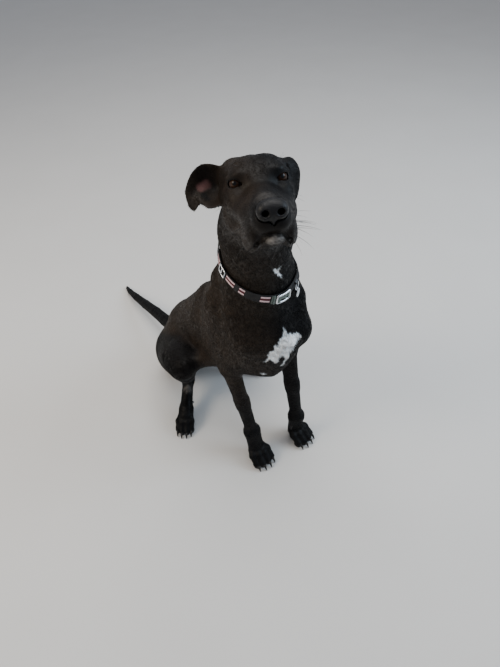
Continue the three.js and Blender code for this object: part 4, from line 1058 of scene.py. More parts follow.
def spikes(at, normal, lie, length, rng):
    """Three flat three-sided spikes for each tuft: their points and faces."""
    side = np.cross(normal, lie)
    all_points = []
    for turn, reach, shift in ((0, 1.0, 0), (0.24, 0.86, 0.35), (-0.22, 0.8, -0.35)):
        angle = turn + rng.normal(0, 0.12, len(at))
        way = lie * np.cos(angle)[:, None] + side * np.sin(angle)[:, None]
        across = np.cross(normal, way)
        long = (length * reach)[:, None]
        wide = long * HAIR_WIDE
        root = at + across * wide * shift * 3 - normal * 0.5
        tip = root + way * long + normal * (0.5 + rng.uniform(0.35, 1.0, len(at))[:, None] * long * HAIR_LIFT)
        ridge = root + normal * wide * 1.1 + way * long * 0.25 + normal * 0.35
        all_points.append(np.stack([root - across * wide, root + across * wide, ridge, tip], 1))
    made = np.stack(all_points, 1).reshape(-1, 3)
    first = np.arange(len(at) * 3)[:, None, None] * 4
    tris = first + np.array([[0, 2, 3], [2, 1, 3], [1, 0, 3], [0, 1, 2]])
    return made, tris.reshape(-1, 3)


rng = np.random.default_rng(7)
at, normal, corners, share = scatter(points, faces, skin_normals, coat_weight, TUFTS, rng)
corner_uv = unwrap(skin.data)
corner_point = np.empty(len(skin.data.loops), int)
skin.data.loops.foreach_get("vertex_index", corner_point)
point_uv = np.zeros((len(points), 2))
point_uv[corner_point] = corner_uv
root_uv = point_uv[corners[np.arange(TUFTS), share.argmax(1)]]
# Painted light: each tuft's colour is raised above the skin's, to make up for the shade that the tufts cast
# on each other.
colours = np.minimum(coat_colour(at, normal) * rng.uniform(1.05, 1.55, (TUFTS, 1)), 0.97)
lie = lie_of_coat(at, normal)
length = coat_length(at) * rng.uniform(0.75, 1.2, TUFTS)

# Each tuft is baked from its own small patch of the map, at the place of its root on the skin.
POINTS_IN_TUFT, CORNERS_IN_TUFT = 12, 36
PATCH = np.array([[0, 0], [0.003, 0], [0.0015, 0.003]])
fur = coat_material("coat_hair", 700.0)
for number, start in enumerate(range(0, TUFTS, TUFTS_IN_PIECE)):
    part = slice(start, start + TUFTS_IN_PIECE)
    made, tris = spikes(at[part], normal[part], lie[part], length[part], rng)
    tufts = mesh_object(f"coat_{number}", made, tris.tolist(), fur)
    write_tint(tufts.data, np.repeat(colours[part], POINTS_IN_TUFT, 0))
    layer = tufts.data.uv_layers.new(name="OFBake")
    patches = np.repeat(root_uv[part], CORNERS_IN_TUFT, 0) + np.tile(PATCH, (len(tris), 1))
    layer.data.foreach_set("uv", patches.ravel())
    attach(tufts, "root")
    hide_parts("torso")


# Eyes
# A moist eyeball with a dark brown iris behind a slightly bulging cornea. It sits in the lids and looks up,
# part of the way towards whoever stands in front.
IRIS, PUPIL, CORNEA_BULGE = 9.2, 3.9, 1.4
TO_VIEWER = 0.45


def eye_material(name, gaze):
    """Pupil, iris with fibres and a dark rim, and the white, by distance from the line of sight."""
    made, n, shader = surface(
        name, Roughness=0.5, Coat_Weight=0.3, Coat_Roughness=0.04, Specular_IOR_Level=0.05
    )
    spot = n.add("ShaderNodeTexCoord").outputs["Object"]
    away = n.add("ShaderNodeVectorMath", operation="SUBTRACT")
    n.put(away.inputs[0], spot)
    away.inputs[1].default_value = place(gaze.origin)
    parts = []
    for row in gaze.rows[1:]:
        dot = n.add("ShaderNodeVectorMath", operation="DOT_PRODUCT")
        n.put(dot.inputs[0], away.outputs[0])
        dot.inputs[1].default_value = row
        parts.append(dot.outputs["Value"])
    left, up = parts
    out = n.math("SQRT", n.math("ADD", n.math("POWER", left, 2.0), n.math("POWER", up, 2.0)))
    out = n.math("MULTIPLY", out, float(PER_METRE))
    turn = n.math("ARCTAN2", left, up)
    ray = n.add("ShaderNodeCombineXYZ")
    n.put(ray.inputs[0], n.math("MULTIPLY", n.math("SINE", turn), 5.0))
    n.put(ray.inputs[1], n.math("MULTIPLY", n.math("COSINE", turn), 5.0))
    n.put(ray.inputs[2], n.math("MULTIPLY", out, 0.12))
    fibres = n.noise(ray.outputs[0], 3.0, 4.0, 0.7)
    iris = n.mix(n.spread(fibres, 0.35, 0.68), (0.02, 0.009, 0.005), (0.06, 0.029, 0.014))
    iris = n.mix(n.spread(out, PUPIL, PUPIL + 2.6, 0.45, 0.0), iris, (0.02, 0.008, 0.004))
    iris = n.mix(n.spread(out, IRIS - 1.3, IRIS), iris, (0.008, 0.005, 0.004))
    white = n.mix(n.noise(spot, 500.0), (0.03, 0.018, 0.015), (0.08, 0.055, 0.05))
    eye = n.mix(n.spread(out, IRIS, IRIS + 0.7), iris, white)
    eye = n.mix(n.spread(out, PUPIL - 0.4, PUPIL + 0.3), (0.002, 0.002, 0.003), eye)
    n.put(shader.inputs["Base Color"], eye)
    return made


for name, side in SIDES.items():
    gaze = gaze_axes(side)
    centre = gaze.origin
    look = Axes(centre, mix(gaze.rows[0], unit(CAMERA_AT - centre), TO_VIEWER), HEAD.rows[2])
    work = bmesh.new()
    bmesh.ops.create_uvsphere(work, u_segments=48, v_segments=32, radius=EYE_RADIUS)
    ball = np.array([v.co for v in work.verts])
    rings = [[v.index for v in f.verts] for f in work.faces]
    work.free()
    bulge = np.clip(1 - (np.hypot(ball[:, 0], ball[:, 1]) / IRIS) ** 2, 0, 1) * (ball[:, 2] > 0)
    ball[:, 2] += CORNEA_BULGE * bulge
    ball = centre + ball[:, [2, 0, 1]] @ look.rows
    eyeball = mesh_object(f"eyeball_{name}", ball, rings, eye_material(f"eye_{name}", look))
    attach(eyeball, "root")
    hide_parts(f"eye_{name}")


# Nose
# Bare black pebbled skin, always moist, with two comma-shaped nostrils and a groove down to the lip.
leather, n, shader = surface(
    "nose_leather", Roughness=0.5, Coat_Weight=0.05, Coat_Roughness=0.3, Specular_IOR_Level=0.2
)
spot = n.add("ShaderNodeTexCoord").outputs["Object"]
pebbles = n.add("ShaderNodeTexVoronoi")
n.put(pebbles.inputs["Vector"], spot)
n.put(pebbles.inputs["Scale"], 620.0)
blacks = n.mix(n.noise(spot, 120.0), (0.0025, 0.0025, 0.003), (0.008, 0.0078, 0.009))
n.put(shader.inputs["Base Color"], blacks)
n.put(shader.inputs["Roughness"], n.uneven(spot, 200.0, 2.0, 0.36, 0.55))
n.put(shader.inputs["Normal"], n.bump(n.spread(pebbles.outputs["Distance"], 0.0, 0.7, 1.0, 0.0), 0.5, 0.0005))
nose_shape = nose_field()
nose_points, nose_faces = net(nose_shape, NOSE_MIDDLE - 40, NOSE_MIDDLE + 40, 1.5)
nose_points = settle(nose_points, nose_shape, 0.2)
nose = mesh_object("nose_pad", nose_points, nose_faces.tolist(), leather)
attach(nose, "root")
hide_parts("nose")


# Claws
# Twenty blunt black claws of horn, four on each paw and a dewclaw on each leg, rooted in the toes. A claw is
# narrower than it is tall, and bends down to its tip.
horn = finish(
    "claw_horn",
    tones=((0.004, 0.0038, 0.0036), (0.014, 0.012, 0.011)),
    grain=(90.0, 4.0),
    shine=(260.0, 2.0, 0.28, 0.5),
    relief=(420.0, 3.0, 0.3, 0.0004),
    Roughness=0.45,
    Specular_IOR_Level=0.3,
)
CLAW_STEPS, CLAW_SIDES = 8, 14
CLAW_FLAT, CLAW_POINT = 0.8, 0.7
CLAW_RADII, DEWCLAW_RADII = (5.4, 5.2, 4.3, 2.0), (4.4, 3.2, 1.2)


def claw(path, radii, wide):
    """A bent taper round a path, narrower along wide, closed at both ends."""
    share = np.linspace(0, 1, CLAW_STEPS + 1)
    path = spline(np.array(path, float), share)
    radii = spline(np.array(radii, float)[:, None], share)[:, 0]
    angle = np.linspace(0, 2 * math.pi, CLAW_SIDES, endpoint=False)[:, None]
    rows = []
    for i, p in enumerate(path):
        ahead = unit(path[min(i + 1, CLAW_STEPS)] - path[max(i - 1, 0)])
        across = unit(wide - ahead * (wide @ ahead))
        up = np.cross(ahead, across)
        rows.append(p + radii[i] * (across * CLAW_FLAT * np.cos(angle) + up * np.sin(angle)))
    point = path[-1] + unit(path[-1] - path[-2]) * radii[-1] * CLAW_POINT
    root_end, point_end = len(path) * CLAW_SIDES, len(path) * CLAW_SIDES + 1
    faces = []
    for j in range(CLAW_SIDES):
        k = (j + 1) % CLAW_SIDES
        for row in range(0, CLAW_STEPS * CLAW_SIDES, CLAW_SIDES):
            faces.append([row + j, row + k, row + CLAW_SIDES + k, row + CLAW_SIDES + j])
        faces.append([k, j, root_end])
        faces.append([CLAW_STEPS * CLAW_SIDES + j, CLAW_STEPS * CLAW_SIDES + k, point_end])
    return np.concatenate([*rows, [path[0]], [point]]), faces


def joined(pieces):
    """Several sets of points and faces as one."""
    made, faces, count = [], [], 0
    for piece_points, piece_faces in pieces:
        made.append(np.asarray(piece_points))
        faces += [[i + count for i in f] for f in piece_faces]
        count += len(piece_points)
    return np.concatenate(made), faces


claws = []
for side in SIDES.values():
    hock, toes = mirrored(HOCK, side), HIND_TOES[side]
    for leg, to, paw in ((CARPUS[side], FORE_TOES[side], FORE_PAW), (mix(hock, toes, 0.5), toes, HIND_PAW)):
        f = paw_axes(leg, to, paw)
        for across in TOES:
            tip = toe_joints(f, paw, across)[2]
            root = tip + f.along(1, 0, 0)
            knee = tip + f.along(7 + CLAW_LENGTH * 0.45, 0, -2.5)
            end = tip + f.along(7 + CLAW_LENGTH * 0.86, 0, 2.6 - tip[2])
            claws.append(claw((root, mix(root, knee, 0.6), knee, end), CLAW_RADII, f.rows[1]))
    fore_dewclaw = (plus(CARPUS[side], 0, -4, -30), (-side, -0.1, 0))
    hind_dewclaw = (mix(hock, toes, 0.45), (-side * 0.8, 0.1, 0))
    for start, inward in (fore_dewclaw, hind_dewclaw):
        inward = unit(inward)
        pad = start + inward * 22
        path = (pad, pad + inward * 5 + (0, -1, -4), pad + inward * 8 + (0, -3, -11))
        claws.append(claw(path, DEWCLAW_RADII, np.array((0, 1, 0.2))))
claw_points, claw_faces = joined(claws)
claw_mesh = mesh_object("claws", claw_points, claw_faces, horn)
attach(claw_mesh, "root")

# Collar band
# Black nylon webbing 23 mm wide, woven in one ring round the neck, with a ribbon of pale and dark red stripes
# let in at short lengths. Two rows of black stitches hold the ribbon down.
BAND_WIDE, BAND_THICK, BAND_CLEAR = 23.0, 2.6, 2.0
NECK_RADIUS, MM_PER_DEGREE = 100, 1.75
REACH_STEPS = 60


def neck_reach(angles, height):
    """How far the neck's surface is from the collar's axis in each direction, at one height of the band."""
    ways = np.stack([np.cos(angles), np.sin(angles), 0 * angles], 1) @ RING.rows
    start = RING.at(0, 0, height)
    low, high = np.full(len(angles), 40.0), np.full(len(angles), 160.0)
    for _ in range(18):
        middle = (low + high) / 2
        inside = flesh.at(start + ways * middle[:, None]) < 0
        low, high = np.where(inside, middle, low), np.where(inside, high, middle)
    return high


# The band's lower and upper edge lie on the neck and bridge its hollows.
reach_angles = np.arange(REACH_STEPS + 1) / REACH_STEPS * 2 * math.pi
band_edges = []
for end in (-1, 1):
    bare = neck_reach(reach_angles[:-1], end * BAND_WIDE / 2)
    bridged = sum(np.roll(bare, step) for step in (-2, -1, 0, 1, 2)) / 5
    edge = np.maximum(bare, bridged) + BAND_CLEAR
    band_edges.append(np.append(edge, edge[0]))


def on_collar(angle, height, off):
    """Points on the collar: angle from its front, height in the band from -1 to 1, distance off the neck."""
    angle, height, off = np.broadcast_arrays(*(np.asarray(x, float) for x in (angle, height, off)))
    low, high = (np.interp(angle % (2 * math.pi), reach_angles, edge) for edge in band_edges)
    r = low + (high - low) * (height + 1) / 2 + off
    local = np.stack([np.cos(angle) * r, np.sin(angle) * r, height * BAND_WIDE / 2], -1)
    return RING.origin + local @ RING.rows


def swept(rows, whole):
    """Rows of points with one section, joined by quads, closed on itself if whole, else with end faces."""
    count, n = len(rows), len(rows[0])
    faces = []
    for i in range(count if whole else count - 1):
        for c in range(n):
            d, j = (c + 1) % n, (i + 1) % count
            faces.append([i * n + c, j * n + c, j * n + d, i * n + d])
    if not whole:
        faces += [list(range(n)), [(count - 1) * n + c for c in reversed(range(n))]]
    return np.concatenate(rows), faces


def outwards(points, faces):
    """The same faces, turned to point out of the closed shape."""
    centre = points.mean(0)
    volume = sum(
        np.dot(points[f[0]] - centre, np.cross(points[f[i]] - centre, points[f[i + 1]] - centre))
        for f in faces
        for i in range(1, len(f) - 1)
    )
    return faces if volume > 0 else [f[::-1] for f in faces]


def rounded_section(half, low, high, radius, steps=4, across=0):
    """A rectangle with round corners, as (across, off) pairs, with more points across its long sides."""
    corners = ((half, high, 0), (-half, high, 90), (-half, low, 180), (half, low, 270))
    made = []
    for x, y, start in corners:
        cx, cy = x - math.copysign(radius, x), y - radius if y == high else y + radius
        for i in range(steps + 1):
            a = math.radians(start + 90 * i / steps)
            made.append((cx + radius * math.cos(a), cy + radius * math.sin(a)))
        if across and start in (0, 180):
            made += [(cx + (-2 * cx) * (i + 1) / (across + 1), y) for i in range(across)]
    return np.array(made)


# The weave and the ribbon follow the band's own map, in millimetres round it and across it. A ribbon is
# given by the degrees of its middle and of half its length.
RIBBONS = (
    (-36, 6.5), (-69, 4.5), (-91, 9), (-134, 9), (-158, 4.5),
    (172, 9), (135, 4.5), (104, 9), (70, 9), (46, 4.5),
)
THREAD_TURN = 2 * math.pi / 1.3
PALE_STRIPE, RED_STRIPE, RIBBON_HALF = (5.6, 2.3), 3.3, 9.0

webbing, n, shader = surface("black_webbing", Roughness=0.72, Specular_IOR_Level=0.35)
weave = n.add("ShaderNodeUVMap", uv_map="weave").outputs["UV"]
apart = n.add("ShaderNodeSeparateXYZ")
n.put(apart.inputs[0], weave)
length_way, width_way = apart.outputs[0], apart.outputs[1]
waves = []
for twist in ("ADD", "SUBTRACT"):
    thread_way = n.math(twist, length_way, width_way)
    waves.append(n.math("SINE", n.math("MULTIPLY", thread_way, THREAD_TURN)))
threads = n.math("MULTIPLY", *waves)
in_ribbon = 0.0
for middle, half in RIBBONS:
    inside = n.within(length_way, middle * MM_PER_DEGREE, half * MM_PER_DEGREE)
    in_ribbon = n.math("ADD", inside, in_ribbon)
pale = n.within(n.math("ABSOLUTE", width_way), *PALE_STRIPE)
pale = n.math("MULTIPLY", pale, n.within(width_way, 0.0, RIBBON_HALF))
yarn = n.mix(n.spread(threads, -1.0, 1.0), (0.0035, 0.0035, 0.004), (0.014, 0.014, 0.016))
striped = n.mix(n.math("MULTIPLY", in_ribbon, pale), yarn, (0.82, 0.6, 0.62))
red = n.math("MULTIPLY", in_ribbon, n.within(width_way, 0.0, RED_STRIPE))
n.put(shader.inputs["Base Color"], n.mix(red, striped, (0.085, 0.008, 0.014)))
n.put(shader.inputs["Normal"], n.bump(threads, 0.6, 0.0004))

BAND_TURNS = 360
section = rounded_section(BAND_WIDE / 2, 0, BAND_THICK, 1.1, 4, 9)
turns = np.arange(BAND_TURNS) / BAND_TURNS * 2 * math.pi
rows = [on_collar(a, section[:, 0] / (BAND_WIDE / 2), section[:, 1]) for a in turns]
band_points, band_faces = swept(rows, True)
band_faces = outwards(band_points, band_faces)
band = mesh_object("webbing_band", band_points, band_faces, webbing)
cloth_map = band.data.uv_layers.new(name="weave")
for polygon in band.data.polygons:
    steps = [v // len(section) for v in polygon.vertices]
    first = BAND_TURNS - 1 if max(steps) - min(steps) > 1 else min(steps)
    for loop, vertex, step in zip(polygon.loop_indices, polygon.vertices, steps):
        step += BAND_TURNS if step < first else 0
        step -= BAND_TURNS if first >= BAND_TURNS / 2 else 0
        degrees = step * 360 / BAND_TURNS
        cloth_map.data[loop].uv = (degrees * MM_PER_DEGREE, section[vertex % len(section)][0])
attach(band, "root")
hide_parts("collar_band")


def strand_tree(material):
    """A node tree that sets one bent, tapering thread on each point, along the point's own way."""
    tree = bpy.data.node_groups.new("strands", "GeometryNodeTree")
    tree.interface.new_socket("Geometry", in_out="INPUT", socket_type="NodeSocketGeometry")
    for name in ("Length", "Thickness", "Arch", "Droop", "Tip"):
        tree.interface.new_socket(name, in_out="INPUT", socket_type="NodeSocketFloat")
    tree.interface.new_socket("Geometry", in_out="OUTPUT", socket_type="NodeSocketGeometry")
    n = Nodes(tree)
    given = n.add("NodeGroupInput").outputs
    middle, end = n.add("ShaderNodeCombineXYZ"), n.add("ShaderNodeCombineXYZ")
    n.put(middle.inputs[0], given["Arch"])
    n.put(middle.inputs[2], n.math("MULTIPLY", given["Length"], 0.5))
    n.put(end.inputs[0], given["Droop"])
    n.put(end.inputs[2], given["Length"])
    arc = n.add("GeometryNodeCurveQuadraticBezier")
    n.put(arc.inputs["Resolution"], 6)
    n.put(arc.inputs["Start"], (0, 0, 0))
    n.put(arc.inputs["Middle"], middle.outputs[0])
    n.put(arc.inputs["End"], end.outputs[0])
    along = n.add("GeometryNodeSplineParameter").outputs["Factor"]
    radius = n.math("MULTIPLY", given["Thickness"], n.spread(along, 0.0, 1.0, 1.0, given["Tip"]))
    ring = n.add("GeometryNodeCurvePrimitiveCircle")
    n.put(ring.inputs["Resolution"], 5)
    n.put(ring.inputs["Radius"], 1.0)
    tube = n.add("GeometryNodeCurveToMesh")
    n.put(tube.inputs["Curve"], arc.outputs[0])
    n.put(tube.inputs["Profile Curve"], ring.outputs[0])
    n.put(tube.inputs["Scale"], radius)
    n.put(tube.inputs["Fill Caps"], True)
    directions = []
    for name in ("way", "top"):
        named = n.add("GeometryNodeInputNamedAttribute", data_type="FLOAT_VECTOR")
        n.put(named.inputs["Name"], name)
        directions.append(named.outputs["Attribute"])
    turned = n.add("FunctionNodeAxesToRotation", primary_axis="Z", secondary_axis="X")
    n.put(turned.inputs[0], directions[0])
    n.put(turned.inputs[1], directions[1])
    size = n.add("GeometryNodeInputNamedAttribute", data_type="FLOAT")
    n.put(size.inputs["Name"], "size")
    planted = n.add("GeometryNodeInstanceOnPoints")
    n.put(planted.inputs["Points"], given["Geometry"])
    n.put(planted.inputs["Instance"], tube.outputs[0])
    n.put(planted.inputs["Rotation"], turned.outputs[0])
    n.put(planted.inputs["Scale"], size.outputs["Attribute"])
    real = n.add("GeometryNodeRealizeInstances")
    n.put(real.inputs[0], planted.outputs[0])
    dressed = n.add("GeometryNodeSetMaterial")
    n.put(dressed.inputs["Geometry"], real.outputs[0])
    dressed.inputs["Material"].default_value = material
    n.put(n.add("NodeGroupOutput").inputs[0], dressed.outputs[0])
    return tree


def strands(name, roots, ways, tops, sizes, material, **inputs):
    """Threads on the given roots as one plain mesh. Lengths are in millimetres."""
    mesh = bpy.data.meshes.new(name)
    mesh.from_pydata(place(roots).tolist(), [], [])
    for key, values in (("way", ways), ("top", tops)):
        layer = mesh.attributes.new(key, "FLOAT_VECTOR", "POINT")
        layer.data.foreach_set("vector", np.asarray(values).ravel())
    mesh.attributes.new("size", "FLOAT", "POINT").data.foreach_set("value", np.asarray(sizes, float))
    seed = bpy.data.objects.new(name, mesh)
    bpy.context.scene.collection.objects.link(seed)
    tree = strand_tree(material)
    modifier = seed.modifiers.new("strands", "NODES")
    modifier.node_group = tree
    for item in tree.interface.items_tree:
        if item.in_out == "INPUT" and item.name in inputs:
            scale = 1 if item.name == "Tip" else PER_METRE
            modifier[item.identifier] = inputs[item.name] / scale
    made = bpy.data.meshes.new_from_object(seed.evaluated_get(bpy.context.evaluated_depsgraph_get()))
    seed.modifiers.clear()
    made.name = name
    made.polygons.foreach_set("use_smooth", [True] * len(made.polygons))
    seed.data = made
    bpy.data.meshes.remove(mesh)
    return seed


STITCH_GAP, STITCH_ROW = 3.4, 0.76
thread = finish(
    "black_thread", tones=((0.01, 0.01, 0.011), (0.035, 0.034, 0.036)), grain=(900.0, 2.0), Roughness=0.5
)
stitch_angles = np.arange(0, 2 * math.pi, STITCH_GAP / NECK_RADIUS)
roots, ways, tops = [], [], []
for height in (-STITCH_ROW, STITCH_ROW):
    row = on_collar(stitch_angles, height, BAND_THICK - 0.1)
    roots.append(row)
    ways.append(units(on_collar(stitch_angles + 0.01, height, BAND_THICK - 0.1) - row))
    tops.append(on_collar(stitch_angles, height, BAND_THICK + 1) - row)
roots, ways, tops = (np.concatenate(x) for x in (roots, ways, tops))
stitch_shape = {"Length": 2.3, "Thickness": 0.3, "Arch": 0.7, "Tip": 1.0}
stitches = strands("band_stitches", roots, ways, tops, np.ones(len(roots)), thread, **stitch_shape)
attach(stitches, "root")


# Buckle and slider
# The buckle is a grey-green moulded plate with two slots in a bright steel frame; the slider that sets the
# collar's length is a steel frame with a bar. The webbing runs through both.
ON_BAND = BAND_THICK + 0.3
BUCKLE_AT, BUCKLE_HALF, BUCKLE_TALL, BUCKLE_WIRE = -10, 12, 12.0, 2.0
PLATE_THICK, BAR_TALL = 3.4, 9.9
SLIDER_AT, SLIDER_HALF, SLIDER_TALL, SLIDER_WIRE = -112, 9, 12.1, 1.25
WIRE_SIDES, LONGEST_STEP, SPLIT = 12, 6, 14

steel = finish(
    "polished_steel",
    tones=((0.66, 0.7, 0.74), (0.8, 0.82, 0.84)),
    grain=(60.0, 3.0),
    shine=(300.0, 4.0, 0.14, 0.34),
    relief=(700.0, 2.0, 0.08, 0.0003),
    Metallic=1.0,
    Roughness=0.2,
)
moulding = finish(
    "grey_green_plastic",
    tones=((0.055, 0.085, 0.07), (0.1, 0.13, 0.115)),
    grain=(80.0, 3.0),
    shine=(260.0, 3.0, 0.34, 0.52),
    relief=(900.0, 2.0, 0.25, 0.0003),
    Roughness=0.42,
)


def frame_ring(name, centre, half, tall, wire, low, corner):
    """A rounded rectangle of steel wire on the band. Its centre and half its length are in degrees."""
    path = rounded_section(math.radians(half) * NECK_RADIUS - wire, -tall + wire, tall - wire, corner, 8, 10)
    split = []
    for p, q in zip(path, np.roll(path, -1, 0)):
        count = SPLIT if np.hypot(*(q - p)) > LONGEST_STEP else 1
        split.append(p + (q - p) * np.linspace(0, 1, count, endpoint=False)[:, None])
    path = np.concatenate(split)
    ahead = units(np.roll(path, -1, 0) - np.roll(path, 1, 0))
    out = np.stack([ahead[:, 1], -ahead[:, 0]], 1)
    angle = np.linspace(0, 2 * math.pi, WIRE_SIDES, endpoint=False)
    rows = []
    for p, w in zip(path, out):
        x, y = (p[i] + w[i] * wire * np.cos(angle) for i in range(2))
        off = low + wire + wire * np.sin(angle)
        rows.append(on_collar(math.radians(centre) + x / NECK_RADIUS, y / (BAND_WIDE / 2), off))
    made, faces = swept(rows, True)
    return mesh_object(name, made, outwards(made, faces), steel)


def slab_on_band(centre, half, tall, low, high, radius, steps=24):
    """A rounded bar across or along the band, bent with it and a little pinched at its two ends."""
    shape = rounded_section(tall, low, high, radius)
    middle = (low + high) / 2
    rows = []
    for i, angle in enumerate(math.radians(centre) + np.linspace(-1, 1, steps) * math.radians(half)):
        pinch = {0: 0.88, 1: 0.97}.get(min(i, steps - 1 - i), 1)
        off = middle + (shape[:, 1] - middle) * pinch
        rows.append(on_collar(angle, shape[:, 0] * pinch / (BAND_WIDE / 2), off))
    return swept(rows, False)


def solid_piece(name, pieces, material, node):
    """Closed shapes as one piece with softened edges, in the place of a node."""
    made, faces = joined([(p, outwards(p, f)) for p, f in pieces])
    piece = mesh_object(name, made, faces, material)
    edge = piece.modifiers.new("edge", "BEVEL")
    edge.width, edge.segments, edge.angle_limit = 0.0003, 2, math.radians(50)
    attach(piece, "root")
    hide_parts(node)


buckle_frame = frame_ring(
    "buckle_frame", BUCKLE_AT, BUCKLE_HALF, BUCKLE_TALL, BUCKLE_WIRE, low=ON_BAND + 1.2, corner=2.5
)
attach(buckle_frame, "root")
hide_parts("collar_buckle")
solid_piece(
    "buckle_plate",
    [
        slab_on_band(BUCKLE_AT, 10.0, 2.8, ON_BAND, ON_BAND + PLATE_THICK, 1.0),
        slab_on_band(BUCKLE_AT - 8.0, 2.4, BAR_TALL, ON_BAND, ON_BAND + PLATE_THICK + 1.4, 1.2, 10),
        slab_on_band(BUCKLE_AT + 8.2, 2.0, BAR_TALL, ON_BAND, ON_BAND + PLATE_THICK + 1.0, 1.2, 10),
        slab_on_band(BUCKLE_AT + 2.0, 1.3, BAR_TALL, ON_BAND, ON_BAND + PLATE_THICK + 0.4, 1.0, 8),
    ],
    moulding,
    "collar_buckle",
)
solid_piece(
    "buckle_shoulder",
    [
        slab_on_band(BUCKLE_AT - 14.6, 1.4, 11.8, ON_BAND, ON_BAND + 3.6, 1.2, 8),
        slab_on_band(BUCKLE_AT - 17.2, 0.8, 11.4, ON_BAND, ON_BAND + 2.4, 0.9, 8),
    ],
    moulding,
    "collar_buckle",
)
slider_frame = frame_ring(
    "slider_frame", SLIDER_AT, SLIDER_HALF, SLIDER_TALL, SLIDER_WIRE, low=ON_BAND, corner=2.0
)
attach(slider_frame, "root")
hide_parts("collar_slider")
slider_bar = slab_on_band(SLIDER_AT, 1.0, 10.9, ON_BAND + 0.3, ON_BAND + 2.3, 0.9, 8)
solid_piece("slider_bar", [slider_bar], steel, "collar_slider")


# Ring, keeper, link and tag
# A steel ring hangs in a webbing loop sewn to the band, and a small link on it carries a plain steel tag with
# a raised rim. They lie along the neck.
RING_ANGLE, RING_RADIUS, RING_WIRE, RING_HEIGHT = math.radians(20), 10.5, 1.5, -7.5
RING_DROP, OFF_NECK = 36, 6
LINK_RADIUS, LINK_WIRE = 4.4, 0.8
TAG_RADIUS, TAG_THICK, TAG_HOLE = 11.5, 1.6, 2.2


def torus(at, normal, up, radius, wire, steps, sides):
    f = Axes(at, normal, up)
    turn = np.linspace(0, 2 * math.pi, sides, endpoint=False)
    r = radius + wire * np.cos(turn)
    rows = []
    for a in np.linspace(0, 2 * math.pi, steps, endpoint=False):
        rows.append(f.origin + np.stack([wire * np.sin(turn), r * math.cos(a), r * math.sin(a)], 1) @ f.rows)
    return swept(rows, True)


hang = on_collar(RING_ANGLE, 2 * RING_HEIGHT / BAND_WIDE, ON_BAND + RING_WIRE + 1.6)
below = neck_reach(np.array([RING_ANGLE]), RING_HEIGHT - RING_DROP)[0] + OFF_NECK
low_point = RING.at(math.cos(RING_ANGLE) * below, math.sin(RING_ANGLE) * below, RING_HEIGHT - RING_DROP)
down = unit(low_point - hang)
across = unit(RING.along(-math.sin(RING_ANGLE), math.cos(RING_ANGLE), 0))
off_neck = unit(np.cross(down, across))
ring_mesh = torus(hang, off_neck, -down, RING_RADIUS, RING_WIRE, 64, 14)
solid_piece("lead_ring", [ring_mesh], steel, "collar_ring")

KEEPER_AT, KEEPER_OUTER, KEEPER_INNER = 0.27, (0.34, 6.2), (0.22, 4.7)
KEEPER_HALF = 0.055
arch = np.linspace(0, math.pi, 14)
outer, inner = (
    np.stack([KEEPER_AT + wide * np.cos(arch), ON_BAND + tall * np.sin(arch)], 1)
    for wide, tall in (KEEPER_OUTER, KEEPER_INNER)
)
height, off = np.concatenate([outer, inner[::-1]]).T
keeper_rows = [on_collar(RING_ANGLE + a, height, off) for a in np.linspace(-KEEPER_HALF, KEEPER_HALF, 12)]
keeper = swept(keeper_rows, False)
solid_piece("ring_keeper", [keeper], thread, "collar_keeper")

lowest = hang + down * RING_RADIUS
link_mesh = torus(lowest + down * 1.4 + off_neck * 0.6, across, off_neck, LINK_RADIUS, LINK_WIRE, 32, 10)
solid_piece("tag_link", [link_mesh], steel, "collar_link")

eyelet = lowest + down * 5.6 + off_neck * 2.4
tag_centre = eyelet + down * (TAG_RADIUS - 4)
TAG_HALF, RIM_RISE = TAG_THICK / 2, 0.25
RIM_PROFILE = ((-1.3, TAG_HALF - RIM_RISE), (-1.0, TAG_HALF), (-0.3, TAG_HALF), (0, TAG_HALF - 0.3))
tag_rows = []
for a in np.linspace(0, 2 * math.pi, 64, endpoint=False):
    way = across * math.cos(a) + down * math.sin(a)
    row = [eyelet + way * TAG_HOLE + off_neck * h for h in (RIM_RISE - TAG_HALF, TAG_HALF - RIM_RISE)]
    row += [tag_centre + way * (TAG_RADIUS + inset) + off_neck * h for inset, h in RIM_PROFILE]
    row += [tag_centre + way * (TAG_RADIUS + inset) - off_neck * h for inset, h in reversed(RIM_PROFILE)]
    tag_rows.append(np.array(row))
solid_piece("blank_tag", [swept(tag_rows, True)], steel, "collar_tag")


# Whiskers and lashes
# Long stiff hairs in rows on the upper lip, under the chin, over the eyes and on the cheeks, and short lashes
# along the upper lids. Each is one tapering black hair.
LIP_ROWS = ((-56, 27), (-66, 31), (-76, 33), (-86, 33))
LIP_STEPS, LIP_STEP = 5, 12
FACE_WHISKERS = ((2, 34, 30, 26), (-4, 40, 31, 22), (-9, 45, 29, 18), (-40, 62, -34, 24), (-44, 64, -40, 28))
CHIN_WHISKERS = ((112, -9), (112, 0), (112, 9), (100, -6), (100, 6))
CHIN_UNDER, CHIN_REACH = -104, 16
LONG_WHISKER = 30.0
LASHES = 15


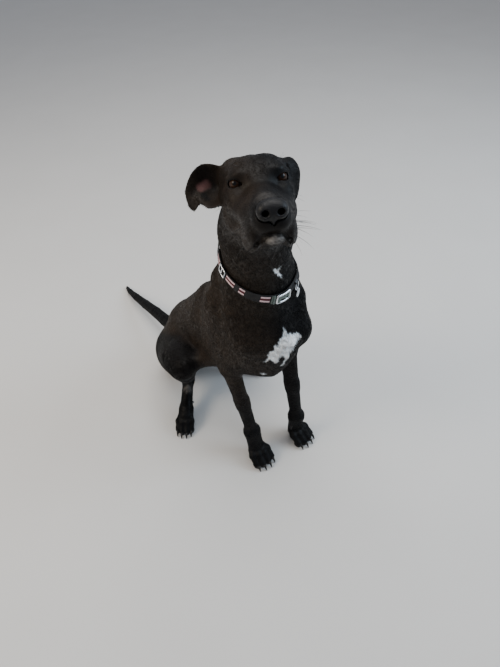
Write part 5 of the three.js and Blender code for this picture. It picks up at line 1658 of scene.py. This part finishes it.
def rooted(places):
    """Places near the face moved onto the skin, and the skin's normal there."""
    at = settle(np.array([HEAD.at(*p) for p in places]), flesh, COAT_DEPTH, 8)
    return at, units(flesh.gradient(at))


rng = np.random.default_rng(21)
whisker_places, whisker_reach = [], []
for side in SIDES.values():
    for row, (up, out) in enumerate(LIP_ROWS):
        for step in range(LIP_STEPS):
            whisker_places.append((118 - step * LIP_STEP - row * 3, side * out, up - step * 1.5))
            whisker_reach.append(20 + 7 * step + rng.uniform(-3, 3))
    for ahead, out, up, reach in FACE_WHISKERS:
        whisker_places.append((ahead, side * out, up))
        whisker_reach.append(reach)
for ahead, left in CHIN_WHISKERS:
    whisker_places.append((ahead, left, CHIN_UNDER))
    whisker_reach.append(CHIN_REACH)
roots, normal = rooted(whisker_places)
back = HEAD.along(-0.35, 0, -0.25) + rng.normal(0, 0.12, roots.shape)
ways = units(normal * 0.8 + back)
tops = np.tile(HEAD.along(-0.4, 0, -1), (len(roots), 1))
sizes = np.array(whisker_reach) / LONG_WHISKER
hair = finish(
    "black_whisker", tones=((0.004, 0.004, 0.004), (0.03, 0.028, 0.026)), grain=(80.0, 2.0), Roughness=0.35
)
whisker_shape = {"Length": LONG_WHISKER, "Thickness": 0.32, "Droop": 5.0, "Tip": 0.12}
whiskers = strands("whiskers", roots - normal, ways, tops, sizes, hair, **whisker_shape)
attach(whiskers, "root")

for name, side in SIDES.items():
    gaze = gaze_axes(side)
    spread = np.linspace(-1, 1, LASHES)
    lid_edge = np.array([gaze.at(13.2 - 3.5 * s * s, 10.5 * s, 6.4 - 3.4 * s * s) for s in spread])
    lid_edge = settle(lid_edge, flesh, COAT_DEPTH, 6)
    ways = np.array([unit(gaze.along(0.75, 0.35 * s, 0.6)) for s in spread])
    tops = np.tile(-gaze.rows[2], (LASHES, 1))
    sizes = rng.uniform(0.8, 1.15, LASHES)
    lash_shape = {"Length": 6.5, "Thickness": 0.2, "Arch": 1.4, "Tip": 0.15}
    lashes = strands(f"lashes_{name}", lid_edge, ways, tops, sizes, hair, **lash_shape)
    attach(lashes, "root")
